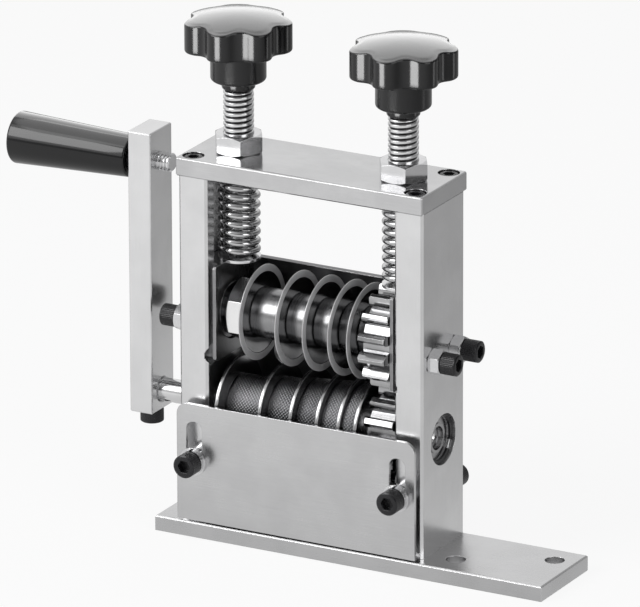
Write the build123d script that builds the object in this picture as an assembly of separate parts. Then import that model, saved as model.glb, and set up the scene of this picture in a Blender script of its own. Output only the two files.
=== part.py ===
"""Hand crank wire stripper: bench frame, knife roll on a sprung carriage, geared feed roll and crank.

Frame of the model, in millimetres: +X to the right, +Y to the back, +Z up.  The origin is on the
underside of the base, midway between the side plates and under the two roll axes.  Cables run along Y.
"""
import math
import os
from build123d import *

# ---------------------------------------------------------------- clearances
SLIP = 0.05           # radial clearance of a running or sliding fit
SEAT = 0.02           # radial clearance of a fixed fit
TOUCH = 0.05          # gap between a moving piece and the stop it rests on
SIDE_GAP = 0.4        # axial gap beside a piece that turns
SCREW_PITCH = 1.0     # thread pitch of the cap screws
CUT = 1.0             # how far a cutting shape passes the face it opens

# ---------------------------------------------------------------- frame plates
PLATE_GAP = 88.0      # clear width between the side plates
SIDE_T = 13.4         # thickness of a side plate
SIDE_W = 37.0         # depth of a side plate, front to back
SIDE_H = 150.5        # height of a side plate
EDGE_CHAMFER = 1.1    # chamfer on the long edges of a side plate
TOP_OVERHANG = 0.45   # how far the top plate passes the side plates at each end
TOP_W = 40.0          # depth of the top plate
TOP_T = 8.2           # thickness of the top plate
TOP_CHAMFER = 0.6
BASE_LEFT = 67.0      # reach of the base to the left of the middle
BASE_RIGHT = 115.2    # reach of the base to the right of the middle
BASE_W = 42.2         # depth of the base
BASE_T = 6.6          # thickness of the base
BASE_SHIFT = -2.2     # the base sits this far in front of the roll axes
BASE_CHAMFER = 0.6
BENCH_HOLE_D = 8.4    # the two holes for the bench bolts
BENCH_HOLES = ((69.0, -11.1), (105.8, 7.2))
BASE_SCREW_Y = 11.0   # half the spacing of the screws that hold a side plate to the base
BASE_SCREW_D = 5.0
BASE_SCREW_HEAD_D = 9.6
BASE_SCREW_L = 20.0
BASE_SCREW_SINK = 0.3  # the heads lie this far inside the underside
BASE_SCREW_KEY = 3.0
BASE_SCREW_KEY_DEPTH = 2.0
TOP_SCREW_X = 52.1    # places of the four top plate screws
TOP_SCREW_Y = 14.7
TOP_SCREW_D = 5.0
TOP_SCREW_HEAD_D = 8.5
TOP_SCREW_HEAD_H = 5.0
TOP_SCREW_SINK = 5.4  # depth of the counterbore
TOP_SCREW_RIM = 0.4   # gap round the head in its counterbore
TOP_SCREW_L = 16.0

# ---------------------------------------------------------------- rolls
FEED_Z = 54.0         # height of the feed roll axis
CENTRES = 42.0        # distance between the two roll axes at rest
JOURNAL_D = 10.0      # shaft ends, in the ball bearings
CORE_D = 12.0         # shaft between the bearings
CORE_FLANGE_D = 15.0  # shoulder that stops the lower gear
CORE_FLANGE_L = 2.4
KEY_W = 3.0           # width and height of the parallel keys
KEY_SINK = 1.8        # depth of a key in its shaft
KEY_INSET = 1.0       # a key stops this far inside its stack
BEARING_OD = 22.0
BEARING_W = 6.0
BEARING_GROOVE = 0.5  # depth of the groove beside the bearing's shield
KNIFE_X = (-28.8, -11.8, 1.1, 13.0, 21.9)
KNIFE_D = 40.7
KNIFE_T = 2.0
KNIFE_BEVEL = 3.1     # radial width of the bevel ground on the left
KNIFE_RING = 3.0      # radial width of the flat ring on the right
KNIFE_DISH = 0.2      # depth of the polished face inside that ring
KNIFE_LAND = 0.35     # flat left at the cutting edge
SPOOL_D = 21.6        # spacers between the knives
STACK_NUT_AF = 24.0   # nut that closes the knife stack on the left
STACK_NUT_L = 9.0
LANE_HEIGHTS = (8.8, 7.0, 5.4, 4.4, 3.2)   # clear height from knife to feed wheel, for thick to thin cable
FLANGE_D = 40.6       # thin discs between the feed wheels
FLANGE_T = 1.5
FLANGE_X = (-19.1, -4.5, 7.9, 18.1)   # middles of the discs between the lanes
FEED_LEFT = -40.2     # left face of the feed roll
FEED_RIGHT = 26.7     # right face of the feed roll
CLIP_T = 1.0          # retaining rings
CLIP_DEPTH = 0.5      # depth of a retaining ring's groove
CLIP_BAND = 2.0       # radial width of the rings beside the bearings
CLIP_MOUTH = 4.0      # opening of those rings
CLIP_MOUTH_TURN = -30.0
CLIP_RECESS = 1.75    # depth of those rings inside the side plate
ROLL_CLIP_BAND = 2.5  # the same for the ring on the feed shaft
SHAFT_SINK = 5.4      # the feed shaft ends this far inside the right side plate
CENTRE_D = 4.8        # centre drilled in that end
CENTRE_DEPTH = 3.0
END_CHAMFER = 0.6     # shaft ends
RIM = 0.4             # eased rims of spacers and thin discs
WHEEL_RIM = 0.5       # eased rims of feed wheels and gears

# ---------------------------------------------------------------- gears
GEAR_TEETH = 14
GEAR_PITCH_D = 38.8   # the gears run further apart than this, so the mesh is loose
UPPER_TIP_D = 44.2
LOWER_TIP_D = 43.0
GEAR_ROOT_D = 32.0
GEAR_BACKLASH = 0.3
PRESSURE_ANGLE = 20.0
GEAR_PHASE = 1.5      # degrees by which the meshing tooth leans to the back
FLANK_STEPS = 4
UPPER_GEAR = (28.3, 40.6)      # faces of the two gears along X
LOWER_GEAR = (30.0, 43.4)
HUB_D = 26.0          # boss beside each gear

# ---------------------------------------------------------------- sliding carriage
CHANNEL_HALF = 12.2   # half width of the channel milled in a side plate
CHANNEL_DEPTH = 7.2
BLOCK_BOTTOM = 77.0
BLOCK_TOP = 118.4
BLOCK_FLANGE_HALF = 16.5
BLOCK_FLANGE_T = 1.5
BLOCK_FLANGE_GAP = 1.5   # between the flange and the side plate
RELIEF_Y = 14.4       # round corner reliefs at the channel's foot
RELIEF_Z = 79.4
RELIEF_R = 4.3
RELIEF_DEPTH = 1.5
BEARING_STEP = 1.0    # depth of the step in front of the upper bearing
BEARING_STEP_D = 25.6
BEARING_STEP_RIM = 0.4   # chamfer round that step
SHAFT_FREE = 1.2      # gap beyond the upper shaft's end

# ---------------------------------------------------------------- pressure screws and springs
PRESS_X = 38.7        # place of the two pressure screws
STUD_D = 12.8
STUD_PITCH = 2.3
THREAD_DEPTH = 1.0
STUD_NECK_D = 14.0    # dark neck under the knob
STUD_NECK_H = 3.3
STUD_TIP_D = 8.0
STUD_TIP_L = 5.6
LOCK_AF = 19.0
LOCK_H = 8.0
LOCK_TURN = 2.0       # degrees: where the lock nuts came to rest
CAP_D = 17.4          # cap that the screw presses on the spring
CAP_T = 1.9
CAP_GAP = 0.3         # between the cap and the top plate
PILOT_D = 11.2        # the cap's pilot inside the spring
PILOT_L = 5.6
SPRING_D = 18.0
WIRE_D = 2.8
SPRING_TURNS = 8.5
END_TURNS = 1.0       # closed turns at each end
END_PITCH = 3.26
WASHER_T = 1.2        # plain washer between block and spring
WASHER_ID = 10.0
KNOB_HUB_D = 23.4
KNOB_HUB_Z = 196.0
KNOB_HUB_H = 13.5     # from the hub's foot to the underside of the lobes
KNOB_RIM_H = 12.3
KNOB_DOME = 3.4       # rise of the domed top
KNOB_D = 45.6
KNOB_LOBES = 7
KNOB_LOBE_R = 6.6
KNOB_WAIST_D = 38.4   # across the valleys between the lobes
KNOB_ROUND = 1.4
KNOB_TURN = 17.7      # degrees: turns a valley to the front right
STUD_IN_KNOB = 15.0   # length of the stud held in the knob

# ---------------------------------------------------------------- side screws
SIDE_SCREW_Y = 9.6
SIDE_SCREW_Z = 91.3
SIDE_SCREW_D = 6.0
SIDE_HEAD_D = 9.3
SIDE_HEAD_H = 7.0
SIDE_NUT_AF = 10.0
SIDE_NUT_H = 5.2
SIDE_NUT_GAP = 0.1
SIDE_TIP_GAP = 0.3    # between the screw's tip and the bearing block

# ---------------------------------------------------------------- covers
COVER_T = 1.5
COVER_HALF = 56.2
COVER_TOP = 59.0
COVER_GAP = 0.9       # between the covers and the base
COVER_STAND = 3.4     # length of the spacer rings behind the front cover
COVER_ROUND = 5.0
SLOT_X = 48.0
FRONT_SLOT_W = 7.5
FRONT_SLOT = (28.5, 51.3)
FRONT_SCREW_Z = 34.1
GUIDE_T = 3.0
GUIDE_STAND = 4.2     # length of the spacer rings in front of the guide plate
STAND_D = 11.0        # outside of the spacer rings
GUIDE_HALF = 53.0
GUIDE_TOP = 111.3
GUIDE_ROUND = 3.0
GUIDE_SLOT_W = 6.6
GUIDE_SLOT = (19.0, 31.0)
GUIDE_SCREW_Z = 27.0
GUIDE_HOLES = (12.0, 10.0, 8.4, 7.2, 6.0)
PLATE_SCREW_D = 6.0
PLATE_SCREW_HEAD_D = 10.0
PLATE_SCREW_HEAD_H = 6.0
PLATE_SCREW_BITE = 12.0
FLAT_WASHER_D = 12.0
FLAT_WASHER_T = 1.6
LOCK_WASHER_D = 11.0
LOCK_WASHER_T = 1.6
LOCK_WASHER_SLIT = 1.2

# ---------------------------------------------------------------- crank
ARM_INNER_X = -75.8   # face of the crank arm towards the frame
ARM_T = 10.8
ARM_W = 18.6
ARM_BELOW = 8.8       # length of the arm below the roll axis
ARM_ABOVE = 14.2      # length of the arm above the handle axis
ARM_CHAMFER = 0.5
CRANK_R = 101.0
CLAMP_SCREW_D = 6.0
CLAMP_HEAD_D = 10.0
CLAMP_HEAD_H = 6.0
CLAMP_GAP = 0.2
SHAFT_FLAT = 0.8      # depth of the flat under the clamp screw
SHAFT_INSET = 0.4     # the feed shaft ends this far inside the arm's outer face
HANDLE_COLLAR_D = 13.0
HANDLE_COLLAR_L = 2.1
GRIP_GAP = 0.3
GRIP_L = 55.5
GRIP_INNER_D = 18.1
GRIP_OUTER_D = 22.3
GRIP_ROUND = 1.2
GRIP_INNER_ROUND = 0.8
SPINDLE_D = 8.0
SPINDLE_STUB = 5.7    # threaded end past the inner face of the arm
SPINDLE_HEAD_D = 13.0
SPINDLE_HEAD_H = 5.0
SPINDLE_HEAD_SINK = 7.5

# ---------------------------------------------------------------- places worked out from the sizes above
SIDE_IN = PLATE_GAP / 2
SIDE_OUT = SIDE_IN + SIDE_T
SIDE_FACE = SIDE_W / 2
TOP_Z = BASE_T + SIDE_H
TOP_FACE = TOP_Z + TOP_T
KNIFE_Z = FEED_Z + CENTRES
CHANNEL_X = SIDE_IN + CHANNEL_DEPTH
BLOCK_FLANGE_OUT = SIDE_IN - BLOCK_FLANGE_GAP
BLOCK_IN = BLOCK_FLANGE_OUT - BLOCK_FLANGE_T
BLOCK_OUT = CHANNEL_X - SIDE_TIP_GAP
UPPER_BEARING_X = BLOCK_IN + BEARING_STEP
CIRCLIP_X = SIDE_OUT - CLIP_RECESS - CLIP_T
LOWER_BEARING_X = CIRCLIP_X - BEARING_W
SPRING_FOOT = BLOCK_TOP + WASHER_T
STUD_NECK_Z = KNOB_HUB_Z - STUD_NECK_H
KNOB_RIM_Z = KNOB_HUB_Z + KNOB_HUB_H
CAP_TOP = TOP_Z - CAP_GAP
CAP_FACE = CAP_TOP - CAP_T
HANDLE_Z = FEED_Z + CRANK_R
ARM_X = ARM_INNER_X - ARM_T / 2
ARM_OUTER_X = ARM_INNER_X - ARM_T
GRIP_X = ARM_OUTER_X - HANDLE_COLLAR_L - GRIP_GAP
STACK_LEFT = KNIFE_X[0] - KNIFE_T / 2
COVER_FACE = SIDE_FACE + COVER_STAND      # distance of the front cover's back from the roll axes
GUIDE_FACE = SIDE_FACE + GUIDE_STAND      # distance of the guide plate's front from them
UPPER_KEY = (STACK_LEFT + KEY_INSET, UPPER_GEAR[1] - KEY_INSET)
LOWER_KEY = (FEED_LEFT + KEY_INSET, LOWER_GEAR[1] - KEY_INSET)
SIDES = {"left": -1, "right": 1}


# ---------------------------------------------------------------- shape helpers
def slab(x, y, z):
    """Box between pairs of coordinates."""
    size = (x[1] - x[0], y[1] - y[0], z[1] - z[0])
    middle = ((x[0] + x[1]) / 2, (y[0] + y[1]) / 2, (z[0] + z[1]) / 2)
    return Pos(*middle) * Box(*size)


def rod(axis, diameter, start, end, at=(0, 0)):
    """Cylinder along an axis from start to end; `at` holds its two other coordinates in X, Y, Z order."""
    turns = {"x": Rot(0, 90, 0), "y": Rot(-90, 0, 0), "z": Rot(0, 0, 0)}
    middle = (start + end) / 2
    places = {"x": (middle, *at), "y": (at[0], middle, at[1]), "z": (*at, middle)}
    return Pos(*places[axis]) * turns[axis] * Cylinder(diameter / 2, abs(end - start))


def turned(axis, outline, at=(0, 0)):
    """Solid of revolution from (place along the axis, radius) points; repeated points count once."""
    points = [(radius, 0, place) for (place, radius), before in zip(outline, outline[-1:] + outline)
              if (place, radius) != before]
    upright = revolve(make_face(Polyline(*points, close=True)), Axis.Z)
    if axis == "z":
        return Pos(*at, 0) * upright
    return Pos(0, *at) * Rot(0, 90, 0) * upright


def hexagon_bar(axis, across_flats, start, end, at=(0, 0), spin=0.0):
    """Hexagonal prism along X or Z, spun about its own axis."""
    bar = extrude(RegularPolygon(across_flats / 2, 6, major_radius=False, rotation=spin), end - start)
    if axis == "z":
        return Pos(*at, start) * bar
    return Pos(start, *at) * Rot(0, 90, 0) * bar


def thread_outline(crest, start, end, pitch, depth):
    """Zigzag of (place, radius) points along a thread, from start to end."""
    count = int(abs(end - start) // pitch)
    step = math.copysign(pitch, end - start)
    points = [(start, crest)]
    for turn in range(count):
        root = start + step * (turn + 0.5)
        points += [(root - step * 0.3, crest), (root, crest - depth), (root + step * 0.3, crest)]
    points.append((end, crest))
    return points


def socket_screw(diameter, length, head_d, head_h):
    """Cap screw with a hexagon socket: underside of the head at z = 0, shank down, head up."""
    key = diameter * 0.83
    thread = thread_outline(diameter / 2, 0, -length, SCREW_PITCH, diameter * 0.06)
    shank = turned("z", [(0, 0), *thread, (-length, 0)])
    head = Pos(0, 0, head_h / 2) * Cylinder(head_d / 2, head_h)
    head = chamfer(head.edges().filter_by(GeomType.CIRCLE).sort_by(Axis.Z)[-1], head_d * 0.05)
    socket = hexagon_bar("z", key, head_h * 0.45, head_h + 1)
    return head + shank - socket


def hex_nut(across_flats, height, bore):
    """Hexagon nut on z = 0 with both rims of its corners turned off."""
    corner = across_flats / math.sqrt(3)
    edge = across_flats / 2 * 0.98
    drop = (corner - edge) * math.tan(math.radians(30))
    cone = turned("z", [(0, 0), (0, edge), (drop, corner), (height - drop, corner),
                        (height, edge), (height, 0)])
    blank = hexagon_bar("z", across_flats, 0, height, spin=0) & cone
    return blank - rod("z", bore, -1, height + 1)


def mirrored(shape, side):
    """The right-hand shape itself, or its mirror image for the left."""
    return shape if side > 0 else mirror(shape, about=Plane.YZ)


def grouped(shapes):
    """Several separate solids as one compound."""
    return Compound([solid for shape in shapes for solid in shape.solids()])


# ---------------------------------------------------------------- frame
def base_plate():
    front = BASE_SHIFT - BASE_W / 2
    plate = slab((-BASE_LEFT, BASE_RIGHT), (front, front + BASE_W), (0, BASE_T))
    plate = chamfer(plate.edges().group_by(Axis.Z)[-1], BASE_CHAMFER)
    for x, y in BENCH_HOLES:
        plate -= rod("z", BENCH_HOLE_D, -1, BASE_T + 1, (x, y))
    for x, y in base_screw_places():
        plate -= Pos(x, y, BASE_SCREW_SINK) * countersunk(SEAT, BASE_T)
    return plate


def base_screw_places():
    middle = SIDE_IN + SIDE_T / 2
    return [(side * middle, y) for side in SIDES.values() for y in (-BASE_SCREW_Y, BASE_SCREW_Y)]


def countersunk(gap, length):
    """Countersunk screw upwards from z = 0, grown all round by a gap."""
    head = BASE_SCREW_HEAD_D / 2 + gap
    shank = BASE_SCREW_D / 2 + gap
    drop = head - shank
    foot = -BASE_SCREW_SINK - CUT if gap else 0
    return turned("z", [(foot, 0), (foot, head), (0, head), (drop, shank), (length, shank), (length, 0)])


def base_screws():
    screw = countersunk(0, BASE_SCREW_L) - hexagon_bar("z", BASE_SCREW_KEY, -CUT, BASE_SCREW_KEY_DEPTH)
    return grouped([Pos(x, y, BASE_SCREW_SINK) * screw for x, y in base_screw_places()])


def side_plate(side):
    plate = slab((SIDE_IN, SIDE_OUT), (-SIDE_FACE, SIDE_FACE), (BASE_T, TOP_Z))
    plate = chamfer(plate.edges().filter_by(Axis.Z), EDGE_CHAMFER)
    plate -= slab((SIDE_IN - 1, CHANNEL_X), (-CHANNEL_HALF, CHANNEL_HALF), (BLOCK_BOTTOM - TOUCH, TOP_Z + 1))
    for y in (-RELIEF_Y, RELIEF_Y):
        plate -= rod("x", RELIEF_R * 2, SIDE_IN - 1, SIDE_IN + RELIEF_DEPTH, (y, RELIEF_Z))
    plate -= rod("x", BEARING_OD + 2 * SEAT, LOWER_BEARING_X, SIDE_OUT + 1, (0, FEED_Z))
    plate -= rod("x", BEARING_OD + 2 * CLIP_DEPTH, CIRCLIP_X, CIRCLIP_X + CLIP_T, (0, FEED_Z))
    plate -= rod("x", CORE_FLANGE_D + 2 * SIDE_GAP, SIDE_IN - 1, LOWER_BEARING_X, (0, FEED_Z))
    for y in (-SIDE_SCREW_Y, SIDE_SCREW_Y):
        plate -= rod("x", SIDE_SCREW_D + 2 * SEAT, CHANNEL_X - 1, SIDE_OUT + 1, (y, SIDE_SCREW_Z))
        plate -= rod("z", BASE_SCREW_D + 2 * SEAT, 0, BASE_SCREW_SINK + BASE_SCREW_L + 1,
                     (SIDE_IN + SIDE_T / 2, math.copysign(BASE_SCREW_Y, y)))
        plate -= rod("z", TOP_SCREW_D + 2 * SEAT, TOP_Z - TOP_SCREW_L, TOP_Z + 1,
                     (TOP_SCREW_X, math.copysign(TOP_SCREW_Y, y)))
    for out, z in ((-1, FRONT_SCREW_Z), (1, GUIDE_SCREW_Z)):
        mouth, floor = SIDE_FACE + 1, SIDE_FACE - PLATE_SCREW_BITE - 1
        plate -= rod("y", PLATE_SCREW_D + 2 * SEAT, out * mouth, out * floor, (SLOT_X, z))
    return mirrored(plate, side)


def top_plate():
    half = SIDE_OUT + TOP_OVERHANG
    plate = slab((-half, half), (-TOP_W / 2, TOP_W / 2), (TOP_Z, TOP_FACE))
    plate = chamfer(plate.edges(), TOP_CHAMFER)
    for side in SIDES.values():
        plate -= rod("z", STUD_D + 2 * SLIP, TOP_Z - 1, TOP_FACE + 1, (side * PRESS_X, 0))
    for x, y in top_screw_places():
        plate -= rod("z", TOP_SCREW_D + 2 * SEAT, TOP_Z - 1, TOP_FACE + 1, (x, y))
        sink = TOP_SCREW_HEAD_D + 2 * TOP_SCREW_RIM
        plate -= rod("z", sink, TOP_FACE - TOP_SCREW_SINK, TOP_FACE + 1, (x, y))
    return plate


def top_screw_places():
    return [(sx * TOP_SCREW_X, sy * TOP_SCREW_Y) for sx in (-1, 1) for sy in (-1, 1)]


def top_plate_screws():
    reach = TOP_SCREW_L - 1 + TOP_T - TOP_SCREW_SINK
    screw = socket_screw(TOP_SCREW_D, reach, TOP_SCREW_HEAD_D, TOP_SCREW_HEAD_H)
    return grouped([Pos(x, y, TOP_FACE - TOP_SCREW_SINK) * screw for x, y in top_screw_places()])


# ---------------------------------------------------------------- rolls
def keyway(x0, x1, axis_z, gap=SEAT):
    """Space of a parallel key above a shaft, grown sideways by a gap."""
    low = axis_z + CORE_D / 2 - KEY_SINK
    return slab((x0, x1), (-KEY_W / 2 - gap, KEY_W / 2 + gap), (low, low + KEY_W + gap))


def bored(blank, axis_z):
    """A wheel blank with the shaft's bore and keyway cut through it."""
    reach = SIDE_OUT
    blank -= rod("x", CORE_D + 2 * SEAT, -reach, reach, (0, axis_z))
    return blank - keyway(-reach, reach, axis_z)


def ball_bearing(x0, axis_z):
    """Shielded ball bearing from x0 to x0 + its width, with grooves at the shield's two edges."""
    bore = JOURNAL_D / 2 + SLIP
    outer = BEARING_OD / 2
    inner_ring = bore + 1.4
    outer_ring = outer - 1.5
    near, far = x0 + BEARING_GROOVE, x0 + BEARING_W - BEARING_GROOVE
    end = x0 + BEARING_W
    lip = 0.35
    outline = [(x0, bore), (x0, inner_ring), (near, inner_ring), (near, outer_ring), (x0, outer_ring),
               (x0, outer - lip), (x0 + lip, outer), (end - lip, outer), (end, outer - lip),
               (end, outer_ring), (far, outer_ring), (far, inner_ring), (end, inner_ring), (end, bore)]
    return turned("x", outline, (0, axis_z))


def lower_bearing(side):
    return mirrored(ball_bearing(LOWER_BEARING_X, FEED_Z), side)


def upper_bearing(side):
    return mirrored(ball_bearing(UPPER_BEARING_X, KNIFE_Z), side)


def bearing_circlips():
    """Internal retaining rings outside the lower bearings, open at the lower back."""
    outer = BEARING_OD / 2 + CLIP_DEPTH - SEAT
    ring = rod("x", outer * 2, CIRCLIP_X, CIRCLIP_X + CLIP_T, (0, FEED_Z))
    inner = outer - CLIP_BAND
    ring -= rod("x", inner * 2, CIRCLIP_X - CUT, CIRCLIP_X + CLIP_T + CUT, (0, FEED_Z))
    half = CLIP_MOUTH / 2
    mouth = slab((CIRCLIP_X - CUT, SIDE_OUT), (0, outer + CUT), (FEED_Z - half, FEED_Z + half))
    ring -= mouth.rotate(Axis((0, 0, FEED_Z), (1, 0, 0)), CLIP_MOUTH_TURN)
    return grouped([mirrored(ring, side) for side in SIDES.values()])


def knife_disc(x):
    """Round knife: bevelled on the left, with a flat ring round a polished face on the right."""
    left, right = x - KNIFE_T / 2, x + KNIFE_T / 2
    edge = KNIFE_D / 2
    ring = edge - KNIFE_RING
    outline = [(left, 0), (left, edge - KNIFE_BEVEL), (right - KNIFE_LAND, edge), (right, edge), (right, ring),
               (right - KNIFE_DISH, ring - KNIFE_DISH), (right - KNIFE_DISH, 0)]
    return bored(turned("x", outline, (0, KNIFE_Z)), KNIFE_Z)


def disc_spacer(index):
    """Core ring from one knife to the next, or from the last knife to the gear."""
    start = KNIFE_X[index] + KNIFE_T / 2 - KNIFE_DISH
    end = KNIFE_X[index + 1] - KNIFE_T / 2 if index + 1 < len(KNIFE_X) else UPPER_GEAR[0]
    radius = SPOOL_D / 2
    outline = [(start, 0), (start, radius), (end - RIM, radius), (end, radius - RIM), (end, 0)]
    return bored(turned("x", outline, (0, KNIFE_Z)), KNIFE_Z)


def stack_nut():
    """Hexagon nut on the shaft's left part that closes the knife stack."""
    nut = Rot(0, 90, 0) * hex_nut(STACK_NUT_AF, STACK_NUT_L, CORE_D + 2 * SEAT)
    return Pos(STACK_LEFT - STACK_NUT_L, 0, KNIFE_Z) * nut


def involute(base_r, radius):
    """Angle that an involute has turned through at a radius."""
    spread = math.acos(base_r / radius)
    return math.tan(spread) - spread


def tooth_outline(tip_r):
    """Points of one tooth, anticlockwise, as (radius, angle) about its middle."""
    pitch_r = GEAR_PITCH_D / 2
    base_r = pitch_r * math.cos(math.radians(PRESSURE_ANGLE))
    half_pitch = math.pi / GEAR_TEETH
    half_tooth = half_pitch / 2 - GEAR_BACKLASH / (2 * pitch_r)
    at_base = half_tooth + involute(base_r, pitch_r)
    radii = [base_r + (tip_r - base_r) * step / FLANK_STEPS for step in range(FLANK_STEPS + 1)]
    flank = [(radius, at_base - involute(base_r, radius)) for radius in radii]
    root = [(GEAR_ROOT_D / 2, at_base)]
    rising = [(radius, -angle) for radius, angle in root + flank]
    falling = list(reversed(root + flank))
    return rising + falling


def gear_blank(faces, axis_z, tip_d, first_tooth):
    """Spur gear between two faces, with a tooth at an angle from +Y towards +Z."""
    x0, x1 = faces
    tip_r = tip_d / 2
    points = []
    for tooth in range(GEAR_TEETH):
        middle = math.radians(first_tooth) + 2 * math.pi * tooth / GEAR_TEETH
        points += [(radius * math.cos(middle + angle), radius * math.sin(middle + angle))
                   for radius, angle in tooth_outline(tip_r)]
    outline = make_face(Polyline(*points, close=True))
    blank = extrude(outline, x1 - x0)
    placed = Plane(origin=(x0, 0, axis_z), x_dir=(0, 1, 0), z_dir=(1, 0, 0))
    body = placed * blank
    low = tip_r - WHEEL_RIM
    ends = turned("x", [(x0, 0), (x0, low), (x0 + WHEEL_RIM, tip_r), (x1 - WHEEL_RIM, tip_r),
                        (x1, low), (x1, 0)], (0, axis_z))
    return body & ends


def upper_gear():
    return bored(gear_blank(UPPER_GEAR, KNIFE_Z, UPPER_TIP_D, -90 + GEAR_PHASE), KNIFE_Z)


def lower_gear():
    """Gear with a boss that closes the feed roll."""
    space = 90 - GEAR_PHASE + 180 / GEAR_TEETH
    hub = rod("x", HUB_D, FEED_RIGHT, LOWER_GEAR[0] + 1, (0, FEED_Z))
    return bored(gear_blank(LOWER_GEAR, FEED_Z, LOWER_TIP_D, space) + hub, FEED_Z)


def shaft_key(start, end, axis_z):
    key = keyway(start, end, axis_z, 0)
    return fillet(key.edges().filter_by(Axis.Z), KEY_W / 2 - SLIP)


def upper_shaft():
    """Shaft of the knife roll, with a journal at each end."""
    shoulder = UPPER_BEARING_X - TOUCH
    end = BLOCK_OUT - SHAFT_FREE
    shaft = rod("x", CORE_D, -shoulder, shoulder, (0, KNIFE_Z))
    journal = rod("x", JOURNAL_D, -end, end, (0, KNIFE_Z))
    journal = chamfer(journal.edges().filter_by(GeomType.CIRCLE), END_CHAMFER)
    return shaft + journal - shaft_key(*UPPER_KEY, KNIFE_Z)


def lower_shaft():
    """Feed shaft: shoulder for the gear, groove for a retaining ring, flat for the crank's clamp screw."""
    shoulder = LOWER_BEARING_X - TOUCH
    far = ARM_OUTER_X + SHAFT_INSET
    near = SIDE_OUT - SHAFT_SINK
    shaft = rod("x", JOURNAL_D, far, near, (0, FEED_Z))
    shaft = chamfer(shaft.edges().filter_by(GeomType.CIRCLE), END_CHAMFER)
    shaft += rod("x", CORE_D, -shoulder, shoulder, (0, FEED_Z))
    stop = LOWER_GEAR[1] + SEAT
    shaft += rod("x", CORE_FLANGE_D, stop, stop + CORE_FLANGE_L, (0, FEED_Z))
    groove = rod("x", CORE_D + 2 * CUT, FEED_LEFT - CLIP_T - SEAT, FEED_LEFT - SEAT, (0, FEED_Z))
    groove -= rod("x", CORE_D - 2 * CLIP_DEPTH, FEED_LEFT - 2 * CLIP_T, FEED_LEFT + CLIP_T, (0, FEED_Z))
    shaft -= groove
    flat = FEED_Z - JOURNAL_D / 2 + SHAFT_FLAT
    shaft -= slab((far - CUT, ARM_INNER_X), (-JOURNAL_D, JOURNAL_D), (flat - JOURNAL_D, flat))
    centre = CENTRE_D / 2
    shaft -= turned("x", [(near + CUT, 0), (near + CUT, centre), (near, centre), (near - CENTRE_DEPTH, 0)],
                    (0, FEED_Z))
    return shaft - shaft_key(*LOWER_KEY, FEED_Z)


def roller_circlip():
    """External retaining ring that closes the feed roll on the left."""
    end = FEED_LEFT - 2 * SEAT
    inner = CORE_D - 2 * CLIP_DEPTH + 2 * SEAT
    ring = rod("x", CORE_D + 2 * ROLL_CLIP_BAND, end - CLIP_T + 2 * SEAT, end, (0, FEED_Z))
    ring -= rod("x", inner, end - 2 * CLIP_T, end + CLIP_T, (0, FEED_Z))
    half = CLIP_MOUTH
    return ring - slab((end - 2 * CLIP_T, end + CLIP_T), (-half, half), (FEED_Z - CORE_D, FEED_Z))


def eased_disc(x0, x1, radius, lip):
    """Disc on the feed axis with both rims eased."""
    low = radius - lip
    outline = [(x0, 0), (x0, low), (x0 + lip, radius), (x1 - lip, radius), (x1, low), (x1, 0)]
    return turned("x", outline, (0, FEED_Z))


def flange_places():
    """Left faces of the thin discs: both ends of the feed roll and between the lanes."""
    between = [middle - FLANGE_T / 2 for middle in FLANGE_X]
    return [FEED_LEFT, *between, FEED_RIGHT - FLANGE_T]


def roller_flanges():
    """Thin polished discs that part the lanes of the feed roll."""
    discs = []
    for x in flange_places():
        discs.append(bored(eased_disc(x, x + FLANGE_T, FLANGE_D / 2, RIM), FEED_Z))
    return grouped(discs)


def feed_wheel(index):
    """Feed wheel of one lane, between two thin discs, low enough for its cable."""
    places = flange_places()
    start, end = places[index] + FLANGE_T, places[index + 1]
    radius = CENTRES - KNIFE_D / 2 - LANE_HEIGHTS[index]
    return bored(eased_disc(start, end, radius, WHEEL_RIM), FEED_Z)


# ---------------------------------------------------------------- sliding carriage
def bearing_block(side):
    """Sliding block: body in the channel, thin flange on the inside, bearing seat and shaft bore."""
    half = CHANNEL_HALF - SLIP
    height = (BLOCK_BOTTOM, BLOCK_TOP)
    block = slab((BLOCK_FLANGE_OUT, BLOCK_OUT), (-half, half), height)
    flange = slab((BLOCK_IN, BLOCK_FLANGE_OUT), (-BLOCK_FLANGE_HALF, BLOCK_FLANGE_HALF), height)
    flange = chamfer(flange.edges().filter_by(Axis.X), 0.8)
    block += flange
    seat_end = UPPER_BEARING_X + BEARING_W
    block -= rod("x", BEARING_OD + 2 * SEAT, BLOCK_IN - 1, seat_end, (0, KNIFE_Z))
    step = BEARING_STEP_D / 2
    block -= turned("x", [(BLOCK_IN - CUT, 0), (BLOCK_IN - CUT, step + BEARING_STEP_RIM + CUT),
                          (BLOCK_IN + BEARING_STEP_RIM, step), (UPPER_BEARING_X, step), (UPPER_BEARING_X, 0)],
                    (0, KNIFE_Z))
    block -= rod("x", JOURNAL_D + 3, seat_end - 1, BLOCK_OUT + 1, (0, KNIFE_Z))
    return mirrored(block, side)


def spring_washers():
    """Plain washers on the two bearing blocks, under the springs."""
    ring = rod("z", SPRING_D, BLOCK_TOP, SPRING_FOOT, (PRESS_X, 0))
    ring -= rod("z", WASHER_ID, BLOCK_TOP - 1, SPRING_FOOT + 1, (PRESS_X, 0))
    return grouped([mirrored(ring, side) for side in SIDES.values()])


# ---------------------------------------------------------------- pressure screws and springs
def spring_height(turn):
    """Rise of the spring's centre line after a number of turns: closed ends, open middle."""
    total = CAP_FACE - SPRING_FOOT - WIRE_D - 2 * SEAT
    open_pitch = (total - 2 * END_TURNS * END_PITCH) / (SPRING_TURNS - 2 * END_TURNS)
    lower = min(turn, END_TURNS)
    upper = max(turn - (SPRING_TURNS - END_TURNS), 0)
    return END_PITCH * (lower + upper) + open_pitch * (turn - lower - upper)


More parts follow.
